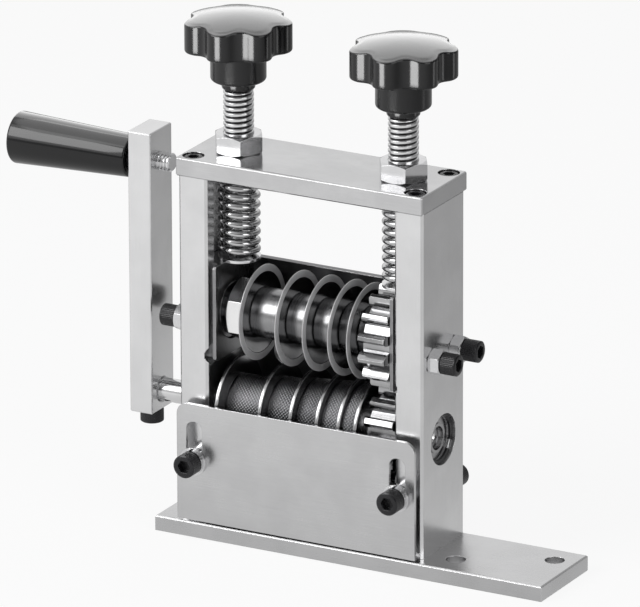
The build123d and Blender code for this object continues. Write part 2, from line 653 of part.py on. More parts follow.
def spring_point(turn):
    angle = 2 * math.pi * turn
    radius = (SPRING_D - WIRE_D) / 2
    start = SPRING_FOOT + WIRE_D / 2 + SEAT
    return Vector(PRESS_X + radius * math.cos(angle), radius * math.sin(angle), start + spring_height(turn))


def spring_direction(turn):
    """Unit tangent, with the rise averaged over a quarter turn either side."""
    angle = 2 * math.pi * turn
    low, high = max(turn - 0.125, 0), min(turn + 0.125, SPRING_TURNS)
    rise = (spring_height(high) - spring_height(low)) / (high - low) / (2 * math.pi)
    radius = (SPRING_D - WIRE_D) / 2
    return Vector(-radius * math.sin(angle), radius * math.cos(angle), rise).normalized()


def biarc(start, start_way, end, end_way):
    """Two arcs that leave start along one direction and reach end along another."""
    across = end - start
    both = start_way + end_way
    spread = 2 * (1 - start_way.dot(end_way))
    reach = (-across.dot(both) + math.sqrt(across.dot(both) ** 2 + spread * across.dot(across))) / spread
    joint = (start + end + (start_way - end_way) * reach) * 0.5
    first = TangentArc(start, joint, tangent=start_way)
    second = TangentArc(joint, end, tangent=first % 1)
    return [first, second]


def spring(side):
    """Compression spring as one unbroken wire, swept along biarcs of a quarter turn."""
    quarters = int(round(SPRING_TURNS * 4))
    arcs = []
    for quarter in range(quarters):
        here, there = quarter / 4, (quarter + 1) / 4
        arcs += biarc(spring_point(here), spring_direction(here),
                      spring_point(there), spring_direction(there))
    path = Wire(arcs)
    section = Plane(origin=spring_point(0), z_dir=spring_direction(0)) * Circle(WIRE_D / 2)
    return mirrored(sweep(section, path=path), side)


def report_spring_gap():
    """Print the least gap between the spring's turns, measured on points of its centre line."""
    steps = 48
    points = [spring_point(index / steps) for index in range(int(SPRING_TURNS * steps) + 1)]
    least = min((points[i] - points[j]).length for i in range(len(points))
                for j in range(i + steps // 2, min(i + steps + steps // 2, len(points))))
    print(f"spring: {SPRING_TURNS} turns, least gap between turns {least - WIRE_D:.2f} mm")


def pressure_cap(side):
    """Cap under the pressure screw, with a pilot in the spring and a socket for the screw's tip."""
    cap = rod("z", CAP_D, CAP_FACE, CAP_TOP, (PRESS_X, 0))
    cap += rod("z", PILOT_D, CAP_FACE - PILOT_L, CAP_FACE, (PRESS_X, 0))
    socket_floor = CAP_TOP - STUD_TIP_L
    cap -= rod("z", STUD_TIP_D + 2 * SLIP, socket_floor, CAP_TOP + 1, (PRESS_X, 0))
    return mirrored(cap, side)


def adjusting_screw(side):
    """Threaded stud from the pressure cap up into the knob, with a plain neck under the knob."""
    low = CAP_TOP + TOUCH
    tip = STUD_TIP_D / 2
    crest = STUD_D / 2
    neck = STUD_NECK_D / 2
    held = STUD_D / 2 - THREAD_DEPTH
    outline = [(low - STUD_TIP_L + 2 * TOUCH, 0), (low - STUD_TIP_L + 2 * TOUCH, tip), (low, tip),
               *thread_outline(crest, low, STUD_NECK_Z, STUD_PITCH, THREAD_DEPTH),
               (STUD_NECK_Z, neck), (KNOB_HUB_Z, neck), (KNOB_HUB_Z, held),
               (KNOB_HUB_Z + STUD_IN_KNOB, held), (KNOB_HUB_Z + STUD_IN_KNOB, 0)]
    return mirrored(turned("z", outline, (PRESS_X, 0)), side)


def lock_nut(side):
    nut = hex_nut(LOCK_AF, LOCK_H, STUD_D + 2 * SLIP)
    return Pos(side * PRESS_X, 0, TOP_FACE) * Rot(0, 0, LOCK_TURN) * nut


def lobed_outline():
    """Knob plan: convex lobes and hollow valleys, each arc running smoothly into the next."""
    lobe_at = KNOB_D / 2 - KNOB_LOBE_R
    waist = KNOB_WAIST_D / 2
    half = math.pi / KNOB_LOBES
    pull = lobe_at * math.cos(half)
    valley_r = ((2 * pull * waist - lobe_at ** 2 - waist ** 2 + KNOB_LOBE_R ** 2)
                / (2 * (waist - KNOB_LOBE_R - pull)))

    def polar(radius, angle):
        return Vector(radius * math.cos(angle), radius * math.sin(angle))

    def meeting(lobe, side):
        middle = polar(lobe_at, 2 * half * lobe)
        hollow = polar(waist + valley_r, 2 * half * lobe + side * half)
        return middle + (hollow - middle) * (KNOB_LOBE_R / (KNOB_LOBE_R + valley_r))

    arcs = []
    for lobe in range(KNOB_LOBES):
        turn = 2 * half * lobe
        arcs.append(ThreePointArc(meeting(lobe, -1), polar(KNOB_D / 2, turn), meeting(lobe, 1)))
        arcs.append(ThreePointArc(meeting(lobe, 1), polar(waist, turn + half), meeting(lobe + 1, -1)))
    return make_face(arcs)


def knob(side):
    """Seven-lobed knob with a plain hub and a domed top."""
    rim_top = KNOB_RIM_Z + KNOB_RIM_H
    lobes = Pos(0, 0, KNOB_RIM_Z) * extrude(Rot(0, 0, KNOB_TURN) * lobed_outline(), KNOB_RIM_H + KNOB_DOME)
    radius = KNOB_D / 2
    soft = KNOB_ROUND
    dome_r = (radius ** 2 + KNOB_DOME ** 2) / (2 * KNOB_DOME)
    dome = Pos(0, 0, rim_top + KNOB_DOME - dome_r) * Sphere(dome_r)
    bottom = turned("z", [(KNOB_RIM_Z, 0), (KNOB_RIM_Z, radius - soft), (KNOB_RIM_Z + soft, radius + 1),
                          (rim_top + KNOB_DOME, radius + 1), (rim_top + KNOB_DOME, 0)])
    rim = lobes & dome & bottom
    hub = rod("z", KNOB_HUB_D, KNOB_HUB_Z, KNOB_RIM_Z + 1)
    hub = fillet(hub.edges().filter_by(GeomType.CIRCLE).sort_by(Axis.Z)[0], soft)
    bore = rod("z", STUD_D - 2 * THREAD_DEPTH + 2 * SEAT, KNOB_HUB_Z - 1, KNOB_HUB_Z + STUD_IN_KNOB + SEAT)
    return Pos(side * PRESS_X, 0, 0) * (rim + hub - bore)


# ---------------------------------------------------------------- side screws
def side_adjusting_screws():
    head_x = SIDE_OUT + SIDE_NUT_H + SIDE_NUT_GAP
    length = head_x - BLOCK_OUT - SIDE_TIP_GAP
    screw = Rot(0, 90, 0) * socket_screw(SIDE_SCREW_D, length, SIDE_HEAD_D, SIDE_HEAD_H)
    screws = [Pos(head_x, y, SIDE_SCREW_Z) * screw for y in (-SIDE_SCREW_Y, SIDE_SCREW_Y)]
    return grouped([mirrored(one, side) for side in SIDES.values() for one in screws])


def side_screw_nuts():
    """The nuts that lock the side screws, on the plates' outer faces."""
    nut = Rot(0, 90, 0) * hex_nut(SIDE_NUT_AF, SIDE_NUT_H, SIDE_SCREW_D + 2 * SEAT)
    nuts = [Pos(SIDE_OUT, y, SIDE_SCREW_Z) * nut for y in (-SIDE_SCREW_Y, SIDE_SCREW_Y)]
    return grouped([mirrored(one, side) for side in SIDES.values() for one in nuts])


# ---------------------------------------------------------------- covers
def slotted_plate(half, top, round_r, faces, slot, width):
    """Upright plate between two faces, with rounded top corners and a slot for a screw near each side."""
    cut = (faces[0] - CUT, faces[1] + CUT)
    plate = slab((-half, half), faces, (BASE_T + COVER_GAP, top))
    corners = plate.edges().filter_by(Axis.Y).group_by(Axis.Z)[-1]
    plate = fillet(corners, round_r)
    for side in SIDES.values():
        low_z, high_z = slot[0] + width / 2, slot[1] - width / 2
        x = side * SLOT_X
        plate -= slab((x - width / 2, x + width / 2), cut, (low_z, high_z))
        for z in (low_z, high_z):
            plate -= rod("y", width, *cut, (x, z))
    return plate


def front_cover():
    faces = (-COVER_FACE - COVER_T, -COVER_FACE)
    return slotted_plate(COVER_HALF, COVER_TOP, COVER_ROUND, faces, FRONT_SLOT, FRONT_SLOT_W)


def guide_plate():
    """Rear plate with one feed hole in line with each knife."""
    faces = (GUIDE_FACE, GUIDE_FACE + GUIDE_T)
    plate = slotted_plate(GUIDE_HALF, GUIDE_TOP, GUIDE_ROUND, faces, GUIDE_SLOT, GUIDE_SLOT_W)
    for x, diameter, height in zip(KNIFE_X, GUIDE_HOLES, LANE_HEIGHTS):
        z = KNIFE_Z - KNIFE_D / 2 - height / 2
        plate -= rod("y", diameter, faces[0] - CUT, faces[1] + CUT, (x, z))
    return plate


def plate_screw_stations():
    """Each plate screw: outward sign along Y, place in X and Z, the plate's inner face and its thickness."""
    front = [(-1, (side * SLOT_X, FRONT_SCREW_Z), COVER_FACE, COVER_T) for side in SIDES.values()]
    return front + [(1, (side * SLOT_X, GUIDE_SCREW_Z), GUIDE_FACE, GUIDE_T) for side in SIDES.values()]


def under_head(out, face, thickness):
    """Distance of a plate screw's head from the roll axes: two washers at the front, none at the back."""
    washers = FLAT_WASHER_T + LOCK_WASHER_T if out < 0 else 0
    return face + thickness + washers + 2 * SEAT


def plate_screws():
    """The four screws that clamp the front cover and the guide plate."""
    screws = []
    for out, (x, z), face, thickness in plate_screw_stations():
        head = under_head(out, face, thickness)
        screw = socket_screw(PLATE_SCREW_D, head - SIDE_FACE + PLATE_SCREW_BITE,
                             PLATE_SCREW_HEAD_D, PLATE_SCREW_HEAD_H)
        screws.append(Pos(x, out * head, z) * Rot(-90 * out, 0, 0) * screw)
    return grouped(screws)


def plate_screw_washers():
    """Spacer rings inside both plates; a flat and a split lock washer outside the front cover."""
    rings = []
    bore = PLATE_SCREW_D + 4 * SLIP
    for out, place, face, thickness in plate_screw_stations():
        hole = rod("y", bore, out * (SIDE_FACE - CUT), out * (face + PLATE_SCREW_BITE), place)
        rings.append(rod("y", STAND_D, out * SIDE_FACE, out * face, place) - hole)
        if out > 0:
            continue
        start = face + thickness + SEAT
        middle = start + FLAT_WASHER_T
        end = middle + LOCK_WASHER_T
        split = rod("y", LOCK_WASHER_D, out * middle, out * end, place)
        half_slit = LOCK_WASHER_SLIT / 2
        x, z = place
        split -= slab((x - half_slit, x + half_slit), (-end - CUT, -start), (z, z + LOCK_WASHER_D))
        rings += [rod("y", FLAT_WASHER_D, out * start, out * (middle - SEAT), place) - hole, split - hole]
    return grouped(rings)


# ---------------------------------------------------------------- crank
def crank_arm():
    """Flat bar, upright at rest, clamped on the feed shaft at its foot."""
    low, high = FEED_Z - ARM_BELOW, HANDLE_Z + ARM_ABOVE
    arm = slab((ARM_OUTER_X, ARM_INNER_X), (-ARM_W / 2, ARM_W / 2), (low, high))
    arm = chamfer(arm.edges(), ARM_CHAMFER)
    bore = rod("x", JOURNAL_D + 2 * SEAT, ARM_OUTER_X - 1, ARM_INNER_X + 1, (0, FEED_Z))
    mouth = turned("x", [(ARM_INNER_X + 0.1, 0), (ARM_INNER_X + 0.1, JOURNAL_D / 2 + 0.9),
                         (ARM_INNER_X - 0.8, JOURNAL_D / 2), (ARM_INNER_X - 0.8, 0)], (0, FEED_Z))
    arm -= bore + mouth
    arm -= rod("x", SPINDLE_D + 2 * SEAT, ARM_OUTER_X - 1, ARM_INNER_X + 1, (0, HANDLE_Z))
    return arm - rod("z", CLAMP_SCREW_D + 2 * SEAT, low - 1, FEED_Z, (ARM_X, 0))


def crank_clamp_screw():
    """Socket screw up through the arm's foot on to the flat of the shaft."""
    tip = FEED_Z - JOURNAL_D / 2 + SHAFT_FLAT - SEAT
    under_head = FEED_Z - ARM_BELOW - CLAMP_GAP
    screw = socket_screw(CLAMP_SCREW_D, tip - under_head, CLAMP_HEAD_D, CLAMP_HEAD_H)
    return Pos(ARM_X, 0, under_head) * Rot(180, 0, 0) * screw


def handle_spindle():
    """Shoulder bolt of the handle: head in the grip, threaded end through the arm."""
    head_x = GRIP_X - GRIP_L + SPINDLE_HEAD_SINK
    tip_x = ARM_INNER_X + SPINDLE_STUB
    radius = SPINDLE_D / 2
    outline = [(head_x - SPINDLE_HEAD_H, 0), (head_x - SPINDLE_HEAD_H, SPINDLE_HEAD_D / 2),
               (head_x, SPINDLE_HEAD_D / 2), (head_x, radius),
               *thread_outline(radius, ARM_INNER_X, tip_x - 0.6, 1.6, 0.6), (tip_x, radius - 0.6), (tip_x, 0)]
    socket = hexagon_bar("x", SPINDLE_D * 0.75, head_x - SPINDLE_HEAD_H - 1, head_x - 2, (0, HANDLE_Z))
    return turned("x", outline, (0, HANDLE_Z)) - socket


def handle_collar():
    """Spacer between the arm and the turning grip."""
    ring = rod("x", HANDLE_COLLAR_D, ARM_OUTER_X - HANDLE_COLLAR_L, ARM_OUTER_X, (0, HANDLE_Z))
    return ring - rod("x", SPINDLE_D + 2 * SEAT, GRIP_X, ARM_OUTER_X + 1, (0, HANDLE_Z))


def handle_grip():
    """Tapered grip that turns on the spindle, with eased rims."""
    far = GRIP_X - GRIP_L
    inner, outer = GRIP_INNER_D / 2, GRIP_OUTER_D / 2
    outline = [(far, 0), (far, outer), (GRIP_X, inner), (GRIP_X, 0)]
    body = turned("x", outline, (0, HANDLE_Z))
    rims = body.edges().filter_by(GeomType.CIRCLE).sort_by(Axis.X)
    body = fillet(rims[0], GRIP_ROUND)
    body = fillet(body.edges().filter_by(GeomType.CIRCLE).sort_by(Axis.X)[-1], GRIP_INNER_ROUND)
    body -= rod("x", SPINDLE_D + 2 * SLIP, far - 1, GRIP_X + 1, (0, HANDLE_Z))
    sink = far + SPINDLE_HEAD_SINK + SIDE_GAP
    return body - rod("x", SPINDLE_HEAD_D + 8 * SLIP, far - CUT, sink, (0, HANDLE_Z))


# ---------------------------------------------------------------- all pieces, by node name
def pieces():
    nodes = {
        "base_plate": base_plate(), "base_screws": base_screws(),
        "top_plate": top_plate(), "top_plate_screws": top_plate_screws(),
        "bearing_circlips": bearing_circlips(), "spring_washers": spring_washers(),
        "upper_shaft": upper_shaft(), "upper_key": shaft_key(*UPPER_KEY, KNIFE_Z), "upper_gear": upper_gear(),
        "stack_nut": stack_nut(),
        "lower_shaft": lower_shaft(), "lower_key": shaft_key(*LOWER_KEY, FEED_Z), "lower_gear": lower_gear(),
        "roller_flanges": roller_flanges(), "roller_circlip": roller_circlip(),
        "side_adjusting_screws": side_adjusting_screws(), "side_screw_nuts": side_screw_nuts(),
        "front_cover": front_cover(), "guide_plate": guide_plate(),
        "plate_screws": plate_screws(), "plate_screw_washers": plate_screw_washers(),
        "crank_arm": crank_arm(), "crank_clamp_screw": crank_clamp_screw(),
        "handle_spindle": handle_spindle(), "handle_collar": handle_collar(), "handle_grip": handle_grip(),
    }
    paired = {
        "side_plate": side_plate, "lower_bearing": lower_bearing, "upper_bearing": upper_bearing,
        "bearing_block": bearing_block, "spring": spring,
        "pressure_cap": pressure_cap, "adjusting_screw": adjusting_screw, "lock_nut": lock_nut, "knob": knob,
    }
    for name, make in paired.items():
        for side, sign in SIDES.items():
            nodes[f"{side}_{name}"] = make(sign)
    for index, x in enumerate(KNIFE_X):
        nodes[f"knife_disc_{index + 1}"] = knife_disc(x)
        nodes[f"disc_spacer_{index + 1}"] = disc_spacer(index)
        nodes[f"feed_wheel_{index + 1}"] = feed_wheel(index)
    return nodes


os.makedirs("parts", exist_ok=True)
report_spring_gap()
for node, shape in pieces().items():
    export_step(shape, f"parts/{node}.step")
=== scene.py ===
"""Hand crank wire stripper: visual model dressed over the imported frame.

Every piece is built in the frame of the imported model: +X to the right, +Y to the back, +Z up.  Sizes in the
classes are in millimetres and become metres in the meshes.
"""
import logging
import math
from dataclasses import dataclass, replace
from enum import Enum
from typing import Callable, Sequence

import bmesh
import bpy
import numpy as np
from mathutils import Matrix, Vector


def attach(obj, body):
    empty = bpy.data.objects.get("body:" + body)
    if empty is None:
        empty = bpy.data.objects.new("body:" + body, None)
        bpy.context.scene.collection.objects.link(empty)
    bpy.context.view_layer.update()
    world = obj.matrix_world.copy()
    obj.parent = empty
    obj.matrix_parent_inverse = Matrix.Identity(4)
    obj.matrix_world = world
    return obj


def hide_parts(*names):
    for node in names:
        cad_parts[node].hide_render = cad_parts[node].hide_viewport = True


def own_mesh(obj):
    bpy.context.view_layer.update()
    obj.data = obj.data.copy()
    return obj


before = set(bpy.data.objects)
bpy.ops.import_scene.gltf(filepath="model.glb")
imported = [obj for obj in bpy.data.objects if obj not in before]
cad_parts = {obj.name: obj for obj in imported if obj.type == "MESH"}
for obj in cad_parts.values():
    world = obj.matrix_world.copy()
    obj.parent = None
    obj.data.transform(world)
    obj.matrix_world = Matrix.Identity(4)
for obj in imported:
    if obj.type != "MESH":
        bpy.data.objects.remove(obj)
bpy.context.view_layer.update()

log = logging.getLogger("stripper")
MM = 0.001
Colour = tuple[float, float, float]
Radius = float | np.ndarray
Ring = tuple[float, Radius]


# Shader maths.
class Val:
    """A shader socket that takes part in Python expressions."""

    def __init__(self, graph: "Graph", socket: bpy.types.NodeSocket) -> None:
        """Wrap an output socket of a graph."""
        self.graph = graph
        self.socket = socket

    def math(self, operation: str, *others: "Term", first: bool = True) -> "Val":
        """Add one Math node.

        Args:
            operation: the node's operation.
            others: the other operands.
            first: whether this value is the first operand.

        Returns:
            The node's result.
        """
        terms: list[Term] = [self, *others] if first else [*others, self]
        return self.graph.node("ShaderNodeMath", {"operation": operation}, dict(enumerate(terms)))

    def __add__(self, other: "Term") -> "Val":
        """Sum."""
        return self.math("ADD", other)

    __radd__ = __add__

    def __mul__(self, other: "Term") -> "Val":
        """Product."""
        return self.math("MULTIPLY", other)

    __rmul__ = __mul__

    def __sub__(self, other: "Term") -> "Val":
        """Difference."""
        return self.math("SUBTRACT", other)

    def __rsub__(self, other: "Term") -> "Val":
        """Difference from a number."""
        return self.math("SUBTRACT", other, first=False)

    def __truediv__(self, other: "Term") -> "Val":
        """Quotient."""
        return self.math("DIVIDE", other)

    def __pow__(self, other: "Term") -> "Val":
        """Power."""
        return self.math("POWER", other)

    def between(self, low: float, high: float) -> "Val":
        """Smooth step from 0 at low to 1 at high."""
        return self.graph.node("ShaderNodeMapRange", {"interpolation_type": "SMOOTHSTEP"},
                               {0: self, 1: low, 2: high, 3: 0.0, 4: 1.0})


Term = Val | float | Sequence[float]


class Graph:
    """Node tree of one material, with a Principled shader at its end."""

    def __init__(self, name: str) -> None:
        """Start an empty tree for a new material."""
        self.material = bpy.data.materials.new(name)
        self.material.use_nodes = True
        self.tree = self.material.node_tree
        self.tree.nodes.clear()

    @classmethod
    def over(cls, tree: bpy.types.NodeTree) -> "Graph":
        """Work on a tree that is not a material's."""
        graph = cls.__new__(cls)
        graph.tree = tree
        tree.nodes.clear()
        return graph

    def node(self, kind: str, settings: dict | None = None, sockets: dict | None = None,
             out: int | str = 0) -> Val:
        """Add one node.

        Args:
            kind: Blender's type name of the node.
            settings: properties of the node, set first.
            sockets: values or links of the node's inputs, by number or name.
            out: number or name of the output to return.

        Returns:
            The chosen output.
        """
        made = self.tree.nodes.new(kind)
        for key, value in (settings or {}).items():
            setattr(made, key, value)
        for key, value in (sockets or {}).items():
            if isinstance(value, Val):
                self.tree.links.new(value.socket, made.inputs[key])
            else:
                made.inputs[key].default_value = value
        if not made.outputs:
            return Val(self, made.inputs[0])
        return Val(self, made.outputs[out])

    def place(self) -> Val:
        """Position on the piece at rest, in millimetres."""
        found = self.node("ShaderNodeTexCoord", out="Object")
        return self.node("ShaderNodeVectorMath", {"operation": "SCALE"}, {0: found, "Scale": 1000.0})

    def stretched(self, place: Val, scale: Sequence[float]) -> Val:
        """A position with each coordinate scaled."""
        return self.node("ShaderNodeVectorMath", {"operation": "MULTIPLY"}, {0: place, 1: tuple(scale)})

    def noise(self, place: Val, scale: float, detail: float = 3.0, rough: float = 0.5) -> Val:
        """Noise from 0 to 1 with a number of features per millimetre."""
        return self.node("ShaderNodeTexNoise", {"noise_dimensions": "3D"},
                         {"Vector": place, "Scale": scale, "Detail": detail, "Roughness": rough})

    def dot(self, place: Val, way: Term) -> Val:
        """Dot product of two vectors."""
        return self.node("ShaderNodeVectorMath", {"operation": "DOT_PRODUCT"}, {0: place, 1: way}, out="Value")

    def rays(self) -> tuple[Val, Val]:
        """Whether a ray comes from the camera, and whether it is glossy."""
        path = self.tree.nodes.new("ShaderNodeLightPath")
        return Val(self, path.outputs["Is Camera Ray"]), Val(self, path.outputs["Is Glossy Ray"])

    def turning(self, place: Val, axis: str, middle: float) -> Val:
        """Turning coordinates: place along an axis, and distance from it.

        Args:
            place: position in millimetres.
            axis: "x" for a level axis, "z" for an upright one at each side.
            middle: height of the level axis, or distance of the upright ones from the middle.

        Returns:
            The two coordinates, with 0 as the third.
        """
        parts = self.tree.nodes.new("ShaderNodeSeparateXYZ")
        self.tree.links.new(place.socket, parts.inputs[0])
        x, y, z = (Val(self, parts.outputs[number]) for number in range(3))
        along, out = (x, z - middle) if axis == "x" else (z, x.math("ABSOLUTE") - middle)
        distance = (y * y + out * out) ** 0.5
        return self.node("ShaderNodeCombineXYZ", None, {0: along, 1: distance, 2: 0.0})

    def mix(self, factor: Term, low: Term, high: Term) -> Val:
        """Mix of two colours."""
        return self.node("ShaderNodeMix", {"data_type": "RGBA"},
                         {0: factor, 6: self.rgba(low), 7: self.rgba(high)}, out=2)

    @staticmethod
    def rgba(colour: Term) -> Term:
        """A colour with its alpha added, or a link as it is."""
        return colour if isinstance(colour, Val) else (*colour, 1.0)

    def softened(self, radius: float) -> Val:
        """Normal with edges rounded by a radius in millimetres."""
        return self.node("ShaderNodeBevel", {"samples": 6}, {"Radius": radius * MM})

    def edges(self, soft: Val) -> Val:
        """Mask of 1 along sharp edges, from a softened normal."""
        normal = self.node("ShaderNodeNewGeometry", out="Normal")
        return (1.0 - self.dot(normal, soft)).between(0.01, 0.25)

    def bump(self, height: Val, depth: float, normal: Val) -> Val:
        """Normal of a height map over another normal, with its depth in millimetres."""
        return self.node("ShaderNodeBump", None, {"Height": height, "Distance": depth * MM, "Strength": 1.0,
                                                  "Normal": normal})

    def finish(self, sockets: dict) -> bpy.types.Material:
        """Close the tree with a Principled shader.

        Args:
            sockets: values or links of the shader's inputs.

        Returns:
            The finished material.
        """
        shader = self.node("ShaderNodeBsdfPrincipled", None, sockets)
        self.node("ShaderNodeOutputMaterial", None, {"Surface": shader})
        return self.material


# Finishes.
class Grain(Enum):
    """Direction of the fine lines in a metal surface."""

    NONE = (1.0, 1.0, 1.0)
    ALONG_X = (0.02, 1.0, 1.0)
    ALONG_Z = (1.0, 1.0, 0.02)
    TURNED_X = None


@dataclass(frozen=True)
class Finish:
    """A surface of one kind of metal or plastic.

    Colours are linear; lengths are in millimetres.
    """

    name: str
    tint: Colour
    dark: Colour
    edge: Colour
    metallic: float = 1.0
    rough: float = 0.35
    rough_swing: float = 0.12
    grain: Grain = Grain.NONE
    grain_fine: float = 3.0
    grain_depth: float = 0.004
    grain_tone: float = 0.25
    speck_depth: float = 0.0
    speck_fine: float = 2.0
    soft: float = 0.35
    wear_and_highlight_gain: float = 0.6
    axis: float = 0.0
    root_shade_radius: float = 0.0
    specular: float = 0.5

    @property
    def title(self) -> str:
        """Name of the material, apart from the names of the frame's own."""
        return f"{self.name}_finish"

    def material(self) -> bpy.types.Material:
        """The finish as a material, made once."""
        return bpy.data.materials.get(self.title) or self._make()

    def _grained(self, graph: Graph, place: Val) -> Val:
        """Coordinates in which noise runs along the grain."""
        if self.grain is Grain.TURNED_X:
            return graph.turning(place, "x", self.axis)
        return graph.stretched(place, self.grain.value)

    def _make(self) -> bpy.types.Material:
        """Build the node tree."""
        graph = Graph(self.title)
        place = graph.place()
        lines = graph.noise(self._grained(graph, place), self.grain_fine, 2.0, 0.6)
        cloud = graph.noise(place, 0.045, 4.0, 0.55)
        speck = graph.noise(place, self.speck_fine, 2.0, 0.5)
        soft = graph.softened(self.soft)
        edge = graph.edges(soft)
        tone = cloud.between(0.3, 0.7) * (1.0 - self.grain_tone) + lines.between(0.3, 0.7) * self.grain_tone
        base = graph.mix(tone, self.dark, self.tint)
        # Along sharp edges the colour goes patchily to the edge colour: partly rubbed wear, partly a painted edge
        # highlight.
        wear_and_edge_highlight = edge * (cloud * 0.5 + speck * 0.5).between(0.25, 0.6) * self.wear_and_highlight_gain
        colour = graph.mix(wear_and_edge_highlight, base, self.edge)
        # Near the axis, in the thread's roots, the colour turns near black: painted shade in the hollows.
        if self.root_shade_radius:
            reach = graph.dot(graph.turning(place, "z", self.axis), (0.0, 1.0, 0.0))
            depth = tuple(part * 0.08 for part in self.dark)
            colour = graph.mix(reach.between(self.root_shade_radius - 0.4, self.root_shade_radius + 0.3), depth, colour)
        rough = (cloud - 0.5) * self.rough_swing + (lines - 0.5) * (self.rough_swing * 0.8) + self.rough
        normal = graph.bump(lines, self.grain_depth, soft)
        if self.speck_depth:
            normal = graph.bump(speck, self.speck_depth, normal)
        return graph.finish({"Base Color": colour, "Metallic": self.metallic, "Roughness": rough,
                             "Normal": normal, "Specular IOR Level": self.specular})


def grey(level: float) -> Colour:
    """Neutral grey."""
    return (level, level, level)


def metal(level: float) -> Colour:
    """Grey of a metal, a touch blue."""
    return (level, level, level + 0.005)


ALUMINIUM = Finish(
    "satin_aluminium", metal(0.74), metal(0.66), (0.90, 0.90, 0.91), rough=0.24, rough_swing=0.06,
    grain=Grain.ALONG_Z, grain_fine=4.0, grain_depth=0.0016, grain_tone=0.3, speck_depth=0.0008, speck_fine=4.0,
    soft=0.4, wear_and_highlight_gain=0.8)
ALUMINIUM_FLAT = replace(
    ALUMINIUM, name="top_plate_aluminium", tint=metal(0.60), dark=metal(0.51), grain=Grain.ALONG_X, rough=0.17)
BASE_METAL = replace(
    ALUMINIUM, name="base_aluminium", tint=metal(0.60), dark=metal(0.53), grain=Grain.ALONG_X, rough=0.28)
COVER_METAL = replace(
    ALUMINIUM, name="cover_sheet", tint=metal(0.64), dark=metal(0.57), grain=Grain.ALONG_X, rough=0.26, soft=0.3)
# The guide sheet and the sliding blocks are darker copies of the aluminium: painted dark reflection.
GUIDE_METAL = replace(
    ALUMINIUM, name="guide_sheet", tint=metal(0.17), dark=metal(0.11), edge=grey(0.85), grain=Grain.ALONG_X,
    rough=0.3, wear_and_highlight_gain=0.95)
BLOCK_STEEL = replace(
    ALUMINIUM, name="block_steel", tint=metal(0.34), dark=metal(0.22), edge=grey(0.8), rough=0.28, wear_and_highlight_gain=0.9)
CRANK_METAL = replace(ALUMINIUM, name="crank_bar", tint=metal(0.76), dark=metal(0.68), soft=0.3)
# The knife faces are written darker than bare steel: painted dark reflection.
KNIFE_FACE = Finish(
    "knife_polished_face", metal(0.34), metal(0.20), grey(0.5), rough=0.14, rough_swing=0.05, grain=Grain.TURNED_X,
    grain_fine=2.5, grain_depth=0.0008, axis=96.0, soft=0.1)
KNIFE_RING = Finish(
    "knife_ground_ring", metal(0.62), metal(0.46), grey(0.9), metallic=0.4, rough=0.36, grain=Grain.TURNED_X,
    grain_fine=5.0, grain_depth=0.004, axis=96.0, soft=0.12)
# The spacers are written darker than bare steel: painted dark reflection.
SPOOL_STEEL = Finish(
    "spool_steel", metal(0.37), metal(0.24), grey(0.6), rough=0.24, grain=Grain.TURNED_X, grain_fine=3.0,
    grain_depth=0.004, axis=96.0)
SHAFT_STEEL = Finish(
    "shaft_steel", metal(0.72), metal(0.58), grey(0.9), rough=0.14, grain=Grain.TURNED_X, grain_fine=4.0,
    grain_depth=0.002, axis=96.0)
FEED_SHAFT = replace(SHAFT_STEEL, name="feed_shaft_steel", axis=54.0)
NUT_STEEL = replace(
    SHAFT_STEEL, name="stack_nut_steel", tint=grey(0.88), dark=grey(0.78), grain=Grain.ALONG_X, rough=0.2)
# The feed wheels are written much darker than bare steel: painted dark reflection.
FEED_STEEL = Finish(
    "feed_wheel_steel", metal(0.20), metal(0.08), grey(0.6), rough=0.28, grain=Grain.TURNED_X, grain_fine=2.0,
    grain_depth=0.003, axis=54.0, soft=0.1)
FLANGE_STEEL = Finish(
    "flange_steel", metal(0.46), metal(0.32), grey(0.9), rough=0.2, grain=Grain.TURNED_X, grain_fine=4.0,
    grain_depth=0.003, axis=54.0, soft=0.12)
GEAR_STEEL = Finish(
    "gear_steel", metal(0.50), metal(0.34), grey(0.92), rough=0.17, grain=Grain.ALONG_X, grain_fine=4.0,
    grain_depth=0.003, soft=0.15)
BEARING_STEEL = Finish(
    "bearing_steel", metal(0.44), metal(0.30), grey(0.8), rough=0.22, grain=Grain.TURNED_X, grain_fine=4.0,
    grain_depth=0.002, axis=54.0, soft=0.12)
# The upper bearings are a darker copy of the bearing steel: painted dark reflection.
UPPER_BEARING_STEEL = replace(
    BEARING_STEEL, name="upper_bearing_steel", axis=96.0, tint=metal(0.20), dark=metal(0.12))
SPRING_WIRE = Finish(
    "spring_wire", metal(0.58), metal(0.42), grey(0.85), rough=0.1, grain_fine=1.5, grain_depth=0.0015, soft=0.1)
ZINC = Finish(
    "zinc_plate", metal(0.74), (0.62, 0.62, 0.63), grey(0.92), rough=0.16, grain_fine=1.2, grain_depth=0.0015,
    speck_depth=0.001, soft=0.2)
# The stud's finish paints near-black shade into the thread roots.
STUD_ZINC = replace(
    ZINC, name="stud_zinc", rough=0.24, grain_depth=0.0005, speck_depth=0.0, soft=0.05, axis=38.7, root_shade_radius=5.85)
BLACK_OXIDE = Finish(
    "black_oxide", (0.020, 0.020, 0.022), (0.010, 0.010, 0.011), grey(0.16), metallic=0.3, rough=0.26, grain_fine=1.5,
    grain_depth=0.002, speck_depth=0.003, soft=0.2, wear_and_highlight_gain=0.5)
KNOB_PLASTIC = Finish(
    "knob_plastic", (0.0035, 0.0035, 0.0038), (0.002, 0.002, 0.0022), grey(0.015), metallic=0.0, rough=0.18,
    rough_swing=0.04, grain_fine=0.8, grain_depth=0.002, speck_depth=0.0015, speck_fine=1.4, soft=0.3, wear_and_highlight_gain=0.2,
    specular=0.4)
GRIP_PLASTIC = replace(KNOB_PLASTIC, name="grip_plastic", rough=0.1)


# Mesh building.
Point2 = tuple[float, float]


